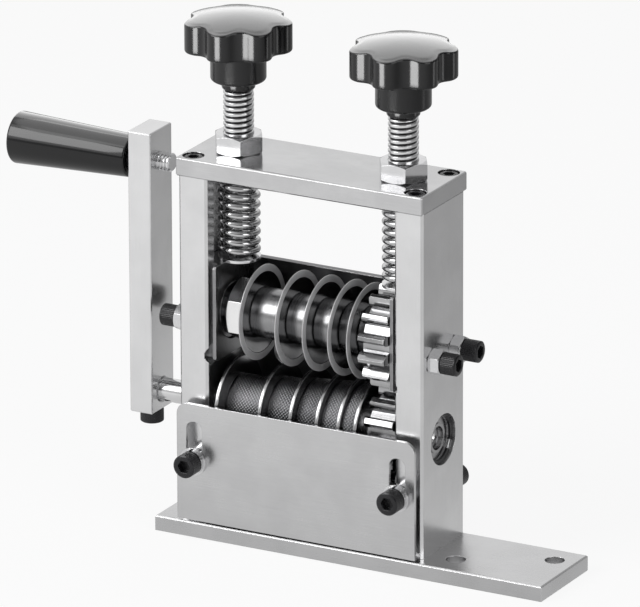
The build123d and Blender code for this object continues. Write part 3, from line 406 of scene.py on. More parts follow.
def eased(points: Sequence[Point2], radius: float, steps: int = 4, closed: bool = False) -> list[Point2]:
    """Round the corners of a polyline.

    Args:
        points: corners as (place, radius) pairs.
        radius: rounding radius, less where an edge is short.
        steps: points in each rounded corner.
        closed: whether the last corner joins the first.

    Returns:
        The polyline with an arc in place of each inner corner.
    """
    corners = [Vector(point) for point in points]
    count = len(corners)
    made: list[Point2] = []
    for index, here in enumerate(corners):
        if not closed and index in (0, count - 1):
            made.append(tuple(here))
            continue
        before, after = corners[index - 1] - here, corners[(index + 1) % count] - here
        spread = before.angle(after, 0.0)
        if spread < 0.05 or spread > math.pi - 0.05:
            made.append(tuple(here))
            continue
        reach = min(radius / math.tan(spread / 2), before.length * 0.48, after.length * 0.48)
        start, end = here + before.normalized() * reach, here + after.normalized() * reach
        for step in range(steps + 1):
            share = step / steps
            made.append(tuple(start * (1 - share) ** 2 + here * (2 * share * (1 - share)) + end * share ** 2))
    return made


class Body:
    """Surface of one piece, gathered in millimetres."""

    def __init__(self, segments: int = 96) -> None:
        """Start an empty surface with a number of steps round each turned form."""
        self.segments = segments
        self.points: list[np.ndarray] = []
        self.faces: list[tuple[int, ...]] = []
        self.zones: list[int] = []
        self.count = 0

    def turn(self) -> np.ndarray:
        """Angle of each step round a turned form."""
        return np.linspace(0, 2 * math.pi, self.segments, endpoint=False)

    def _add(self, points: np.ndarray, faces: Sequence[Sequence[int]], zones: Sequence[int]) -> None:
        """Append points, and faces with their material zones."""
        self.points.append(np.asarray(points, float))
        self.faces += [tuple(int(corner) + self.count for corner in face) for face in faces]
        self.zones += zones
        self.count += len(points)

    def rings(self, axis: str, at: Point2, rings: Sequence[Ring], closed: bool = False,
              zones: Callable[[float, float], int] | None = None) -> "Body":
        """Skin a stack of rings about an axis.

        Args:
            axis: "x", "y" or "z".
            at: the axis's two other coordinates, in X, Y, Z order.
            rings: place along the axis and radius of each ring; a radius may differ round the ring.
            closed: whether the last ring joins the first, as in a ring with a bore.
            zones: material zone by a face's mean place and radius; 0 when left out.

        Returns:
            The body itself.
        """
        around = self.segments
        turn = self.turn()
        points, starts, pole = [], [], []
        total = 0
        for place, radius in rings:
            is_pole = np.isscalar(radius) and abs(radius) < 1e-9
            reach = np.zeros(1) if is_pole else np.broadcast_to(np.asarray(radius, float), (around,))
            spin = turn[:1] if is_pole else turn
            one, two = reach * np.cos(spin), reach * np.sin(spin)
            along = np.full(len(reach), place)
            if axis == "x":
                ring = np.stack([along, at[0] + one, at[1] + two], 1)
            elif axis == "y":
                ring = np.stack([at[0] + two, along, at[1] + one], 1)
            else:
                ring = np.stack([at[0] + one, at[1] + two, along], 1)
            points.append(ring)
            starts.append(total)
            pole.append(is_pole)
            total += len(ring)
        pairs = list(zip(range(len(rings)), range(1, len(rings))))
        if closed:
            pairs.append((len(rings) - 1, 0))
        faces: list[tuple[int, ...]] = []
        marks: list[int] = []
        for a, b in pairs:
            mean = (rings[a][0] + rings[b][0]) / 2, (np.mean(rings[a][1]) + np.mean(rings[b][1])) / 2
            mark = zones(*mean) if zones else 0
            for step in range(around):
                after = (step + 1) % around
                if pole[a] and pole[b]:
                    continue
                if pole[a]:
                    face = (starts[a], starts[b] + after, starts[b] + step)
                elif pole[b]:
                    face = (starts[a] + step, starts[a] + after, starts[b])
                else:
                    face = (starts[a] + step, starts[a] + after, starts[b] + after, starts[b] + step)
                faces.append(face)
                marks.append(mark)
        self._add(np.concatenate(points), faces, marks)
        return self

    def thread(self, at: Point2, start: float, end: float, crest: float, depth: float, pitch: float) -> "Body":
        """Upright rod with a right-hand helical thread, closed at both ends.

        Args:
            at: X and Y of the axis.
            start: place of the lower end.
            end: place of the upper end.
            crest: radius over the crests.
            depth: depth of the thread.
            pitch: rise in one turn.

        Returns:
            The body itself.
        """
        turn = self.turn()
        samples, lead_in = 16, 0.5
        step = pitch / samples
        places = np.concatenate([[start], np.arange(start + step / 2, end - step / 4, step), [end]])
        rings: list[Ring] = [(start, 0.0)]
        for place in places:
            phase = (place / pitch - turn / (2 * math.pi)) % 1.0
            hill = np.clip((0.5 - np.abs(phase - 0.5)) / 0.5 * 1.8 - 0.1, 0.0, 1.0)
            fade = min(1.0, min(place - start, end - place) / (lead_in * pitch) + 0.001)
            rings.append((float(place), crest - depth + depth * (hill * hill * (3 - 2 * hill)) * fade))
        rings.append((end, 0.0))
        return self.rings("z", at, rings)

    def tube(self, path: np.ndarray, radius: float) -> "Body":
        """Round wire along a path, with flat ends.

        Args:
            path: centre line as rows of X, Y and Z.
            radius: radius of the wire.

        Returns:
            The body itself.
        """
        around = 18
        ways = np.gradient(path, axis=0)
        ways /= np.linalg.norm(ways, axis=1)[:, None]
        up = np.array([0.0, 0.0, 1.0])
        side = np.cross(ways, up)
        side /= np.linalg.norm(side, axis=1)[:, None]
        over = np.cross(side, ways)
        spin = np.linspace(0, 2 * math.pi, around, endpoint=False)
        shell = (path[:, None, :] + radius * (np.cos(spin)[None, :, None] * side[:, None, :]
                                              + np.sin(spin)[None, :, None] * over[:, None, :]))
        faces: list[tuple[int, ...]] = []
        for row in range(len(path) - 1):
            for step in range(around):
                after = (step + 1) % around
                faces.append((row * around + step, (row + 1) * around + step,
                              (row + 1) * around + after, row * around + after))
        last = (len(path) - 1) * around
        faces.append(tuple(range(around)))
        faces.append(tuple(last + step for step in reversed(range(around))))
        self._add(shell.reshape(-1, 3), faces, [0] * len(faces))
        return self

    def object(self, name: str, body: str, finishes: Sequence[Finish], slot: str,
               replaces: Sequence[str] = (), sharp: float = 32.0) -> bpy.types.Object:
        """Make the piece and join it to the frame.

        Args:
            name: name of the piece.
            body: rigid body that it rides on.
            finishes: finish of each material zone.
            slot: the record's material slot; not used.
            replaces: nodes that it stands for.
            sharp: angle in degrees above which an edge stays sharp.

        Returns:
            The new object.
        """
        mesh = bpy.data.meshes.new(name)
        points = np.concatenate(self.points) * MM
        mesh.from_pydata([tuple(point) for point in points], [], self.faces)
        mesh.polygons.foreach_set("material_index", self.zones)
        work = bmesh.new()
        work.from_mesh(mesh)
        bmesh.ops.remove_doubles(work, verts=work.verts, dist=1e-7)
        bmesh.ops.dissolve_degenerate(work, edges=work.edges, dist=1e-7)
        bmesh.ops.recalc_face_normals(work, faces=work.faces)
        work.to_mesh(mesh)
        work.free()
        mesh.shade_smooth()
        mesh.set_sharp_from_angle(angle=math.radians(sharp))
        for finish in finishes:
            mesh.materials.append(finish.material())
        piece = bpy.data.objects.new(name, mesh)
        bpy.context.scene.collection.objects.link(piece)
        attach(piece, body)
        if replaces:
            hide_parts(*replaces)
        log.info("%s rides on %s: %d faces", name, body, len(mesh.polygons))
        return piece


def dress(finish: Finish, *nodes: str, sharp: float = 32.0) -> None:
    """Give CAD nodes a finish and clean shading.

    Args:
        finish: the surface.
        nodes: names of the nodes.
        sharp: angle in degrees above which an edge stays sharp.
    """
    for name in nodes:
        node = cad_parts[name]
        node.data.materials.clear()
        node.data.materials.append(finish.material())
        for face in node.data.polygons:
            face.material_index = 0
        node.data.shade_smooth()
        node.data.set_sharp_from_angle(angle=math.radians(sharp))
        log.info("%s keeps its shape: %s", name, finish.name)


def hexagon(angles: np.ndarray, across_flats: float) -> np.ndarray:
    """Radius of a hexagon at each angle in radians."""
    sixth = math.pi / 3
    return across_flats / 2 / np.cos((angles + sixth / 2) % sixth - sixth / 2)


# Sub-assemblies.
SIDES = ("left", "right")
KNIFE_X = (-28.8, -11.8, 1.1, 13.0, 21.9)
KNIFE_D = 40.7
BORE_D = 12.04


@dataclass
class FrameWork:
    """Base, side plates, top plate, and what is fixed in them."""

    def build(self) -> None:
        """Dress the plates and their small fittings."""
        dress(BASE_METAL, "base_plate")
        dress(ALUMINIUM, "left_side_plate", "right_side_plate")
        dress(ALUMINIUM_FLAT, "top_plate")
        dress(BLACK_OXIDE, "base_screws", "bearing_circlips")
        dress(BEARING_STEEL, *(f"{side}_lower_bearing" for side in SIDES))


@dataclass
class Carriage:
    """Sliding blocks with their bearings and the spring washers."""

    def build(self) -> None:
        """Dress the sliding pieces."""
        for side in SIDES:
            dress(BLOCK_STEEL, f"{side}_bearing_block")
            dress(UPPER_BEARING_STEEL, f"{side}_upper_bearing")
        dress(ZINC, "spring_washers")


@dataclass
class KnifeRoll:
    """Upper shaft with round knives, spacers, nut and gear."""

    axis_z: float = 96.0
    knife_t: float = 2.0
    bevel: float = 3.1
    ring: float = 3.0
    dish: float = 0.2
    land: float = 0.35
    spool_d: float = 21.6
    stack_end: float = 28.3

    def build(self) -> None:
        """Build the knives and spacers, and dress the rest."""
        for number, x in enumerate(KNIFE_X, 1):
            self.knife(number, x)
            self.spacer(number)
        dress(NUT_STEEL, "stack_nut")
        dress(BLACK_OXIDE, "upper_key")
        dress(SHAFT_STEEL, "upper_shaft")
        dress(GEAR_STEEL, "upper_gear")

    def knife(self, number: int, x: float) -> None:
        """One knife, bevelled on the left, with a ground ring round a polished face on the right."""
        left, right, edge = x - self.knife_t / 2, x + self.knife_t / 2, KNIFE_D / 2
        inner, bore = edge - self.ring, BORE_D / 2
        outline = [(left, bore), (left, edge - self.bevel), (right - self.land, edge), (right, edge), (right, inner),
                   (right - self.dish, inner - self.dish), (right - self.dish, bore)]

        def zone(place: float, radius: float) -> int:
            return 1 if radius > inner - 0.05 else 0

        body = Body(144).rings("x", (0, self.axis_z), eased(outline, 0.1, 2, True), True, zones=zone)
        body.object(f"knife_{number}", "knife_roll", (KNIFE_FACE, KNIFE_RING), "knife_steel",
                    (f"knife_disc_{number}",))

    def spacer(self, number: int) -> None:
        """Turned spacer to the right of a knife."""
        last = number == len(KNIFE_X)
        start = KNIFE_X[number - 1] + self.knife_t / 2 - self.dish + 0.01
        end = self.stack_end if last else KNIFE_X[number] - self.knife_t / 2
        outer, bore = self.spool_d / 2, BORE_D / 2
        outline = [(start, bore), (start, outer), (end - 0.01, outer), (end - 0.01, bore)]
        body = Body(112).rings("x", (0, self.axis_z), eased(outline, 0.35, 4, True), True)
        body.object(f"spacer_{number}", "knife_roll", (SPOOL_STEEL,), "spool_steel", (f"disc_spacer_{number}",))


@dataclass
class FeedRoll:
    """Lower shaft with knurled feed wheels, thin discs and gear."""

    axis_z: float = 54.0
    centres: float = 42.0
    lane_heights: tuple[float, ...] = (8.8, 7.0, 5.4, 4.4, 3.2)
    left: float = -40.2
    right: float = 26.7
    disc_x: tuple[float, ...] = (-19.1, -4.5, 7.9, 18.1)
    disc_d: float = 40.6
    disc_t: float = 1.5
    knurl_pitch: float = 1.5
    knurl_depth: float = 0.38

    def discs(self) -> list[float]:
        """Left faces of the thin discs."""
        return [self.left, *(x - self.disc_t / 2 for x in self.disc_x), self.right - self.disc_t]

    def build(self) -> None:
        """Build wheels and discs, and dress the rest."""
        places = self.discs()
        for number, height in enumerate(self.lane_heights, 1):
            radius = self.centres - KNIFE_D / 2 - height
            self.wheel(number, places[number - 1] + self.disc_t, places[number], radius)
        body = Body(144)
        for x in places:
            outline = [(x, BORE_D / 2), (x, self.disc_d / 2), (x + self.disc_t, self.disc_d / 2),
                       (x + self.disc_t, BORE_D / 2)]
            body.rings("x", (0, self.axis_z), eased(outline, 0.35, 3, True), True)
        body.object("feed_discs", "crank", (FLANGE_STEEL,), "flange_steel", ("roller_flanges",))
        dress(FEED_SHAFT, "lower_shaft")
        dress(BLACK_OXIDE, "lower_key", "roller_circlip")
        dress(GEAR_STEEL, "lower_gear")

    def wheel(self, number: int, start: float, end: float, radius: float) -> None:
        """One feed wheel with a diamond knurl."""
        teeth = round(2 * math.pi * radius / self.knurl_pitch)
        steps = teeth * 6
        turn = np.linspace(0, 2 * math.pi, steps, endpoint=False)
        count = max(int((end - start) / (self.knurl_pitch / 6)), 8)
        rings: list[Ring] = [(start + 0.02, BORE_D / 2), (start + 0.02, radius - 0.6)]
        for step in range(count + 1):
            x = start + 0.3 + (end - start - 0.6) * step / count
            lean = 2 * math.pi * x / self.knurl_pitch
            waves = np.minimum(np.abs(np.sin((turn * teeth + lean) / 2)), np.abs(np.sin((turn * teeth - lean) / 2)))
            ease = min(1.0, step / 3, (count - step) / 3)
            rings.append((x, radius - self.knurl_depth * (1 - waves * ease)))
        rings += [(end - 0.02, radius - 0.6), (end - 0.02, BORE_D / 2)]
        body = Body(steps).rings("x", (0, self.axis_z), rings, True)
        body.object(f"feed_knurl_{number}", "crank", (FEED_STEEL,), "feed_steel", (f"feed_wheel_{number}",),
                    sharp=60.0)


@dataclass
class PressureGear:
    """One pressure screw with its knob, lock nut, cap and spring."""

    side: str
    sign: int
    place_x: float = 38.7
    stud_d: float = 12.8
    pitch: float = 2.3
    thread_depth: float = 1.0
    stud_low: float = 156.85
    tip_d: float = 8.0
    tip_low: float = 151.35
    neck_d: float = 14.0
    neck_z: float = 192.7
    hub_d: float = 23.4
    hub_z: float = 196.0
    rim_z: float = 209.5
    rim_h: float = 12.3
    dome: float = 3.4
    knob_d: float = 45.6
    lobes: int = 7
    lobe_r: float = 6.6
    waist_d: float = 38.4
    knob_turn: float = 17.7
    hub_round: float = 1.9
    under_round: float = 1.2
    top_round: float = 0.9
    arc: int = 6
    spring_d: float = 18.0
    wire_d: float = 2.8
    lift: float = 1.2
    feed: float = 2.0
    turns: float = 8.5
    end_turns: float = 1.0
    end_pitch: float = 3.26
    spring_low: float = 119.62
    spring_high: float = 154.88

    @property
    def at(self) -> Point2:
        """Place of the screw's axis."""
        return (self.sign * self.place_x, 0.0)

    def build(self) -> None:
        """Build the screw, knob and spring, and dress the rest."""
        self.stud()
        self.knob()
        self.spring()
        dress(ZINC, f"{self.side}_lock_nut", f"{self.side}_pressure_cap")

    def stud(self) -> None:
        """Threaded stud with its tip and the dark neck under the knob."""
        screw = f"{self.side}_pressure_screw"
        body = Body(96).thread(self.at, self.stud_low, self.neck_z, self.stud_d / 2, self.thread_depth, self.pitch)
        tip = [(self.tip_low, 0.0), (self.tip_low, self.tip_d / 2), (self.stud_low + 0.2, self.tip_d / 2),
               (self.stud_low + 0.2, 0.0)]
        body.rings("z", self.at, eased(tip, 0.5))
        body.object(f"{self.side}_stud", screw, (STUD_ZINC,), "zinc_steel", (f"{self.side}_adjusting_screw",), 75.0)
        neck = [(self.neck_z, 0.0), (self.neck_z, self.neck_d / 2), (self.hub_z + 0.5, self.neck_d / 2),
                (self.hub_z + 0.5, 0.0)]
        Body(72).rings("z", self.at, eased(neck, 0.7)).object(f"{self.side}_stud_neck", screw, (KNOB_PLASTIC,),
                                                             "zinc_steel")

    def lobed(self, angles: np.ndarray) -> np.ndarray:
        """Radius of the knob's lobed plan at each angle."""
        lobe_at, waist = self.knob_d / 2 - self.lobe_r, self.waist_d / 2
        half = math.pi / self.lobes
        pull = lobe_at * math.cos(half)
        valley_r = ((2 * pull * waist - lobe_at ** 2 - waist ** 2 + self.lobe_r ** 2)
                    / (2 * (waist - self.lobe_r - pull)))
        hollow_at = waist + valley_r
        off = np.abs((angles - math.radians(self.knob_turn) + half) % (2 * half) - half)
        meet_x = lobe_at + (hollow_at * math.cos(half) - lobe_at) * self.lobe_r / (self.lobe_r + valley_r)
        meet_y = hollow_at * math.sin(half) * self.lobe_r / (self.lobe_r + valley_r)
        meeting = math.atan2(meet_y, meet_x)
        convex = lobe_at * np.cos(off) + np.sqrt(np.maximum(self.lobe_r ** 2 - (lobe_at * np.sin(off)) ** 2, 0))
        swing = half - off
        concave = (hollow_at * np.cos(swing)
                   - np.sqrt(np.maximum(valley_r ** 2 - (hollow_at * np.sin(swing)) ** 2, 0)))
        return np.where(off <= meeting, convex, concave)

    def knob(self) -> None:
        """Seven-lobed knob with soft edges and a domed top."""
        body = Body(280)
        plan = self.lobed(body.turn())
        radius = self.knob_d / 2
        dome_r = (radius ** 2 + self.dome ** 2) / (2 * self.dome)
        top = self.rim_z + self.rim_h
        hub = self.hub_d / 2
        foot, under, over = self.hub_round, self.under_round, self.top_round
        rings: list[Ring] = [(self.hub_z, 0.0), (self.hub_z, hub - foot)]
        rings += [(self.hub_z + 1.6 * (1 - math.cos(a)), hub - foot + foot * math.sin(a))
                  for a in np.linspace(0.25, math.pi / 2, self.arc)]
        rings += [(self.rim_z - 0.8, hub), (self.rim_z - 0.25, hub + 0.12), (self.rim_z, hub + 0.6)]
        for share in (0.25, 0.5, 0.75):
            rings.append((self.rim_z, hub + 0.6 + (plan - 1.3 - hub - 0.6) * share))
        quarter = np.linspace(0.0, math.pi / 2, self.arc)
        rings += [(self.rim_z + under * (1 - math.cos(a)), plan - under + under * math.sin(a)) for a in quarter]
        rings += [(self.rim_z + 3.0, plan), (top - 2.0, plan)]

        def height(reach: np.ndarray) -> np.ndarray:
            return top + self.dome - dome_r + np.sqrt(dome_r ** 2 - reach ** 2)

        rim_top = float(np.mean(height(plan)))
        base = len(rings)
        rings += [(rim_top - over * (1 - math.sin(a)), plan - over * (1 - math.cos(a))) for a in quarter]
        for share in (0.94, 0.85, 0.72, 0.56, 0.38, 0.2, 0.08):
            rings.append((float(np.mean(height((plan - over) * share))), (plan - over) * share))
        rings.append((top + self.dome, 0.0))
        body.rings("z", self.at, rings)
        # The valleys of the plan stand higher than the lobes, so each point is lifted on to the dome.
        start = 1 + (base - 1) * body.segments
        for number in range(base, len(rings) - 1):
            place, reach = rings[number]
            level = height(np.asarray(reach) if number >= base + self.arc else plan)
            body.points[-1][start:start + body.segments, 2] = level - (np.mean(level) - place)
            start += body.segments
        body.object(f"{self.side}_knob_piece", f"{self.side}_pressure_screw", (KNOB_PLASTIC,), "knob_plastic",
                    (f"{self.side}_knob",), 50.0)

    def rise(self, turn: np.ndarray) -> np.ndarray:
        """Rise of the spring's centre line after a number of turns."""
        total = self.spring_high - self.spring_low - self.wire_d
        pitch = (total - 2 * self.end_turns * self.end_pitch) / (self.turns - 2 * self.end_turns)
        low = np.minimum(turn, self.end_turns)
        high = np.maximum(turn - (self.turns - self.end_turns), 0)
        return self.end_pitch * (low + high) + pitch * (turn - low - high)

    def spring(self) -> None:
        """Compression spring in two halves, lower and upper, both riding on the frame."""
        turn = np.linspace(0, self.turns, int(self.turns * 28) * 2 + 1)
        spin = 2 * math.pi * turn
        reach = (self.spring_d - self.wire_d) / 2
        path = np.stack([self.sign * (self.place_x + reach * np.cos(spin)), reach * np.sin(spin),
                         self.spring_low + self.wire_d / 2 + self.rise(turn)], 1)
        middle = len(turn) // 2
        for name, part, joint, travel in (("lower", path[:middle + 1], "carriage_lift", self.lift),
                                          ("upper", path[middle:], f"{self.side}_pressure", self.feed)):
            made = Body().tube(part, self.wire_d / 2 - 0.01).object(
                f"{self.side}_spring_{name}", "frame", (SPRING_WIRE,), "spring_steel", (f"{self.side}_spring",), 50.0)
            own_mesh(made)


@dataclass
class CapScrew:
    """Cap screw with a knurled head and a hexagon socket."""

    shank_d: float
    head_d: float
    head_h: float
    length: float
    knurls: int = 40
    knurl_depth: float = 0.16
    chamfer: float = 0.45
    pitch: float = 1.0

    def add(self, body: Body, axis: str, at: Point2, face: float, out: int) -> None:
        """Add the screw to a surface.

        Args:
            body: the surface; its steps round a form are a multiple of the knurls and of 6.
            axis: axis that the screw lies along.
            at: the axis's two other coordinates.
            face: place of the head's underside.
            out: 1 or -1, the way the head points.
        """
        turn = body.turn()
        head, shank = self.head_d / 2, self.shank_d / 2
        grip = head - self.knurl_depth * (0.5 - 0.5 * np.cos(turn * self.knurls))
        top = self.head_h
        key = hexagon(turn, self.shank_d * 0.83)
        rings: list[Ring] = [(-self.length, 0.0), (-self.length, shank - 0.5), (-self.length + 0.5, shank)]
        turns = int((self.length - 1.0) / self.pitch)
        for number in range(turns):
            root = -self.length + 1.0 + self.pitch * number
            rings += [(root, shank), (root + self.pitch / 2, shank - self.shank_d * 0.05)]
        rings += [(0.0, shank), (0.0, head - 0.35), (0.2, head - 0.08), (0.6, grip), (top - 1.0, grip),
                  (top - 0.75, head - 0.05), (top - self.chamfer, head - 0.02), (top - 0.12, head - self.chamfer),
                  (top, head - self.chamfer - 0.3), (top, key + 0.22), (top - 0.2, key), (top * 0.45, key),
                  (top * 0.45 - 0.4, 0.0)]
        body.rings(axis, at, [(face + out * place, radius) for place, radius in rings])


@dataclass
class Fasteners:
    """Cap screws, nuts and washers of the plates, covers and crank."""

    side_y: float = 9.6
    side_z: float = 91.3
    side_head: float = 62.7
    top_x: float = 52.1
    top_y: float = 14.7
    top_z: float = 159.9
    cover_x: float = 48.0
    front_z: float = 34.1
    front_head: float = 26.64
    rear_z: float = 27.0
    rear_head: float = 25.74
    clamp_x: float = -81.2
    clamp_z: float = 45.0

    def build(self) -> None:
        """Dress the nuts and washers and build the cap screws."""
        dress(ZINC, "side_screw_nuts", "plate_screw_washers")
        ends = [(sx, sy) for sx in (-1, 1) for sy in (-1, 1)]
        side, top = CapScrew(6.0, 9.3, 7.0, 11.4), CapScrew(5.0, 8.5, 5.0, 17.7)
        front, rear = CapScrew(6.0, 10.0, 6.0, 20.0), CapScrew(6.0, 10.0, 6.0, 19.1)
        clamp = CapScrew(6.0, 10.0, 6.0, 4.7)
        self.group("side_cap_screws", "frame", "side_adjusting_screws",
                   [(side, "x", (sy * self.side_y, self.side_z), sx * self.side_head, sx) for sx, sy in ends])
        self.group("top_cap_screws", "frame", "top_plate_screws",
                   [(top, "z", (sx * self.top_x, sy * self.top_y), self.top_z, 1) for sx, sy in ends])
        self.group("cover_cap_screws", "frame", "plate_screws", [
            place for sx in (-1, 1) for place in (
                (front, "y", (sx * self.cover_x, self.front_z), -self.front_head, -1),
                (rear, "y", (sx * self.cover_x, self.rear_z), self.rear_head, 1))])
        self.group("clamp_cap_screw", "crank", "crank_clamp_screw",
                   [(clamp, "z", (self.clamp_x, 0.0), self.clamp_z, -1)])

    @staticmethod
    def group(name: str, rides_on: str, node: str, screws: Sequence[tuple]) -> None:
        """Build one group of black screws.

        Args:
            name: name of the piece.
            rides_on: rigid body that it rides on.
            node: node that it stands for.
            screws: each screw, followed by what its add method takes after the surface.
        """
        body = Body(240)
        for screw, *place in screws:
            screw.add(body, *place)
        body.object(name, rides_on, (BLACK_OXIDE,), "black_steel", (node,))


@dataclass
class Covers:
    """Front cover and rear guide plate."""

    def build(self) -> None:
        """Dress both plates."""
        dress(COVER_METAL, "front_cover")
        dress(GUIDE_METAL, "guide_plate")


@dataclass
class Crank:
    """Crank arm with its clamp screw, spindle, collar and turning grip."""

    handle_z: float = 155.0
    grip_right: float = -89.0
    grip_l: float = 55.5
    inner_d: float = 18.1
    outer_d: float = 22.3
    end_round: float = 1.2
    inner_round: float = 0.8
    bore_d: float = 8.1
    sink_d: float = 13.4
    sink: float = 7.9

    def build(self) -> None:
        """Build the grip and dress the rest."""
        dress(CRANK_METAL, "crank_arm")
        # The collar's black is partly its own black oxide and partly painted shade between grip and arm.
        dress(BLACK_OXIDE, "handle_collar")
        dress(ZINC, "handle_spindle")
        self.grip()

    def grip(self) -> None:
        """Tapered grip with eased rims and a sunk bore for the spindle's head."""
        far = self.grip_right - self.grip_l
        outer, inner = self.outer_d / 2, self.inner_d / 2
        outline: list[Point2] = [(self.grip_right, self.bore_d / 2), (far + self.sink, self.bore_d / 2),
                                 (far + self.sink, self.sink_d / 2), (far, self.sink_d / 2)]
        outline += [(far + self.end_round * (1 - math.cos(a)), outer - self.end_round * (1 - math.sin(a)))
                    for a in np.linspace(0.0, math.pi / 2, 9)]
        outline += [(far + self.grip_l * share, outer + (inner - outer) * share) for share in (0.25, 0.5, 0.75)]
        outline += [(self.grip_right - self.inner_round * (1 - math.sin(a)),
                     inner - self.inner_round * (1 - math.cos(a))) for a in np.linspace(0.0, math.pi / 2, 6)]
        Body(112).rings("x", (0, self.handle_z), outline, True).object(
            "grip_sleeve", "grip", (GRIP_PLASTIC,), "grip_plastic", ("handle_grip",))


# Studio.
@dataclass
class Lamp:
    """One soft area lamp, for every piece or for named pieces only."""

    name: str
    place: tuple[float, float, float]
    size: tuple[float, float]
    watts: float
    only: tuple[str, ...] = ()

    def build(self, target: Vector) -> None:
        """Create the lamp, aimed at a point."""
        data = bpy.data.lights.new(self.name, "AREA")
        data.shape, data.size, data.size_y, data.energy = "RECTANGLE", *self.size, self.watts
        lamp = bpy.data.objects.new(self.name, data)
        lamp.location = self.place
        lamp.rotation_mode = "QUATERNION"
        lamp.rotation_quaternion = (target - Vector(self.place)).to_track_quat("-Z", "Y")
        bpy.context.scene.collection.objects.link(lamp)
        if self.only:
            lit = bpy.data.collections.new(f"{self.name}_pieces")
            for piece in self.only:
                lit.objects.link(bpy.data.objects[piece])
            lamp.light_linking.receiver_collection = lit


KNOB_PIECES = ("left_knob_piece", "right_knob_piece", "left_stud_neck", "right_stud_neck")
BLACK_PIECES = (*KNOB_PIECES, "grip_sleeve")
LAMPS = (
    Lamp("key", (-0.9, -1.1, 1.0), (0.9, 0.9), 13.0),
    Lamp("fill", (1.3, -0.5, 0.5), (0.9, 0.9), 6.0),
    Lamp("sheen_back", (-0.6, 1.1, 0.85), (1.4, 1.3), 14.0, BLACK_PIECES),
    Lamp("sheen_front", (-0.7, -1.1, 0.95), (1.4, 1.4), 8.0, BLACK_PIECES),
    Lamp("sheen_top", (0.0, 0.0, 1.6), (2.0, 2.0), 26.0, BLACK_PIECES),
    Lamp("strip_left", (-0.10, -0.49, 0.05), (0.30, 0.5), 7.0, KNOB_PIECES),
    Lamp("strip_right", (0.45, 0.22, 0.05), (0.10, 0.5), 0.3, KNOB_PIECES),
)


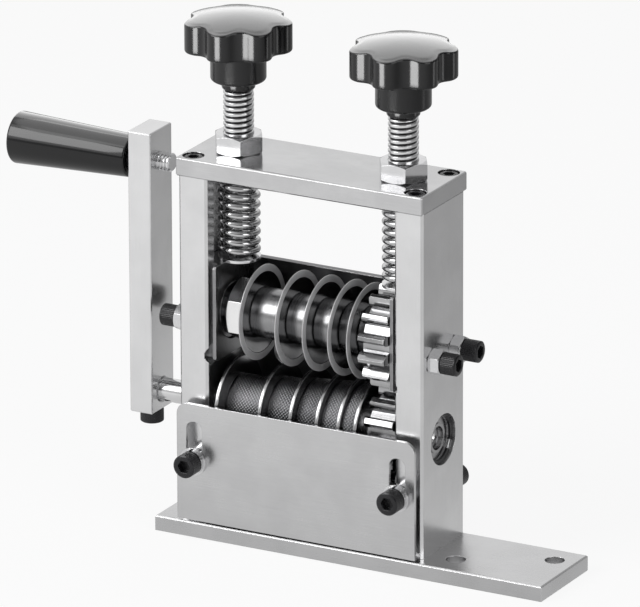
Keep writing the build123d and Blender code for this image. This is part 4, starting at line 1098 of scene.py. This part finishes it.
@dataclass
class Studio:
    """Pale floor, soft light and the camera of the photograph."""

    focal_px: float = 10057.61
    width_px: int = 640
    azimuth: float = 28.51
    elevation: float = 19.094
    roll: float = -0.189
    distance: float = 4182.509
    shift_x: float = -0.534
    shift_y: float = 13.427
    target: tuple[float, float, float] = (0.0, 0.0, 90.0)

    def build(self) -> None:
        """Set up everything round the object."""
        self.camera()
        self.floor()
        self.world()
        middle = Vector((0.0, 0.0, 0.1))
        for lamp in LAMPS:
            lamp.build(middle)
        bpy.context.scene.view_settings.view_transform = "Standard"

    def camera(self) -> None:
        """Camera fitted to the photograph."""
        a, e = math.radians(self.azimuth), math.radians(self.elevation)
        back = Vector((math.sin(a) * math.cos(e), -math.cos(a) * math.cos(e), math.sin(e)))
        right = Vector((math.cos(a), math.sin(a), 0.0))
        up = back.cross(right)
        turn = math.radians(self.roll)
        side = right * math.cos(turn) + up * math.sin(turn)
        over = up * math.cos(turn) - right * math.sin(turn)
        data = bpy.data.cameras.new("camera")
        data.sensor_width = 36.0
        data.lens = self.focal_px * 36.0 / self.width_px
        data.clip_end = 100.0
        camera = bpy.data.objects.new("camera", data)
        place = (Vector(self.target) + back * self.distance + right * self.shift_x + up * self.shift_y) * MM
        camera.matrix_world = Matrix((
            (side.x, over.x, back.x, place.x), (side.y, over.y, back.y, place.y),
            (side.z, over.z, back.z, place.z), (0, 0, 0, 1)))
        bpy.context.scene.collection.objects.link(camera)
        bpy.context.scene.camera = camera

    def floor(self) -> None:
        """Wide pale floor, shown white but keeping the object's shadow, with painted shade from an AO mask in holes
        and round the base, and a painted glow, uneven by direction, for the metal to reflect.
        """
        mesh = bpy.data.meshes.new("floor")
        reach = 6.0
        mesh.from_pydata([(-reach, -reach, -1e-4), (reach, -reach, -1e-4), (reach, reach, -1e-4),
                          (-reach, reach, -1e-4)], [], [(0, 1, 2, 3)])
        graph = Graph("floor_paper")
        place = graph.place()
        tone = graph.mix(graph.noise(place, 0.004, 3.0), grey(0.80), grey(0.84))
        matt = graph.node("ShaderNodeBsdfDiffuse", None, {"Color": tone})
        white = graph.node("ShaderNodeEmission", None, {"Color": (*grey(1.0), 1.0), "Strength": 1.0})
        dim_reflection_glow = graph.node("ShaderNodeEmission", None, {"Color": (*grey(0.42), 1.0), "Strength": 1.0})
        seen, glossy = graph.rays()
        # Where the AO node finds the floor hemmed in, the white glow gives way to the matt floor: painted shade on
        # top of the matt floor's real shadow.
        painted_shade_ao = graph.node("ShaderNodeAmbientOcclusion", {"samples": 8}, {"Distance": 0.03}, out="AO")
        shown = graph.node("ShaderNodeMixShader", None,
                           {0: seen * painted_shade_ao.between(0.25, 0.5) * 0.88, 1: matt, 2: white})
        # For glossy rays the floor glows white towards the front left and dim grey towards the back right: painted
        # reflection for the metal to mirror.
        front = graph.dot(place, (-0.45, -0.83, 0.0))
        sheen = graph.node("ShaderNodeMixShader", None, {0: front.between(-450.0, 450.0), 1: dim_reflection_glow, 2: white})
        final = graph.node("ShaderNodeMixShader", None, {0: glossy, 1: shown, 2: sheen})
        graph.node("ShaderNodeOutputMaterial", None, {"Surface": final})
        mesh.materials.append(graph.material)
        floor = bpy.data.objects.new("floor", mesh)
        bpy.context.scene.collection.objects.link(floor)

    def world(self) -> None:
        """Even light for matt surfaces, a white backdrop, and bright and dark sides for the metal to mirror."""
        world = bpy.data.worlds.new("studio")
        bpy.context.scene.world = world
        world.use_nodes = True
        graph = Graph.over(world.node_tree)
        way = graph.node("ShaderNodeTexCoord", out="Generated")
        front = graph.dot(way, (-0.75, 0.15, 0.65))
        sides = graph.mix(front.between(-0.4, 0.8), grey(0.10), grey(1.0))
        seen, glossy = graph.rays()
        light = graph.mix(glossy, (0.52, 0.52, 0.53), sides)
        shown = graph.mix(seen, light, grey(1.0))
        back = graph.node("ShaderNodeBackground", None, {"Color": shown, "Strength": 1.0})
        graph.node("ShaderNodeOutputWorld", None, {"Surface": back})


def main() -> None:
    """Build every sub-assembly in order, then the studio."""
    logging.basicConfig(level=logging.INFO, format="%(message)s")
    FrameWork().build()
    Carriage().build()
    KnifeRoll().build()
    FeedRoll().build()
    PressureGear("left", -1).build()
    PressureGear("right", 1).build()
    Fasteners().build()
    Covers().build()
    Crank().build()
    Studio().build()


if __name__ == "__main__":
    main()
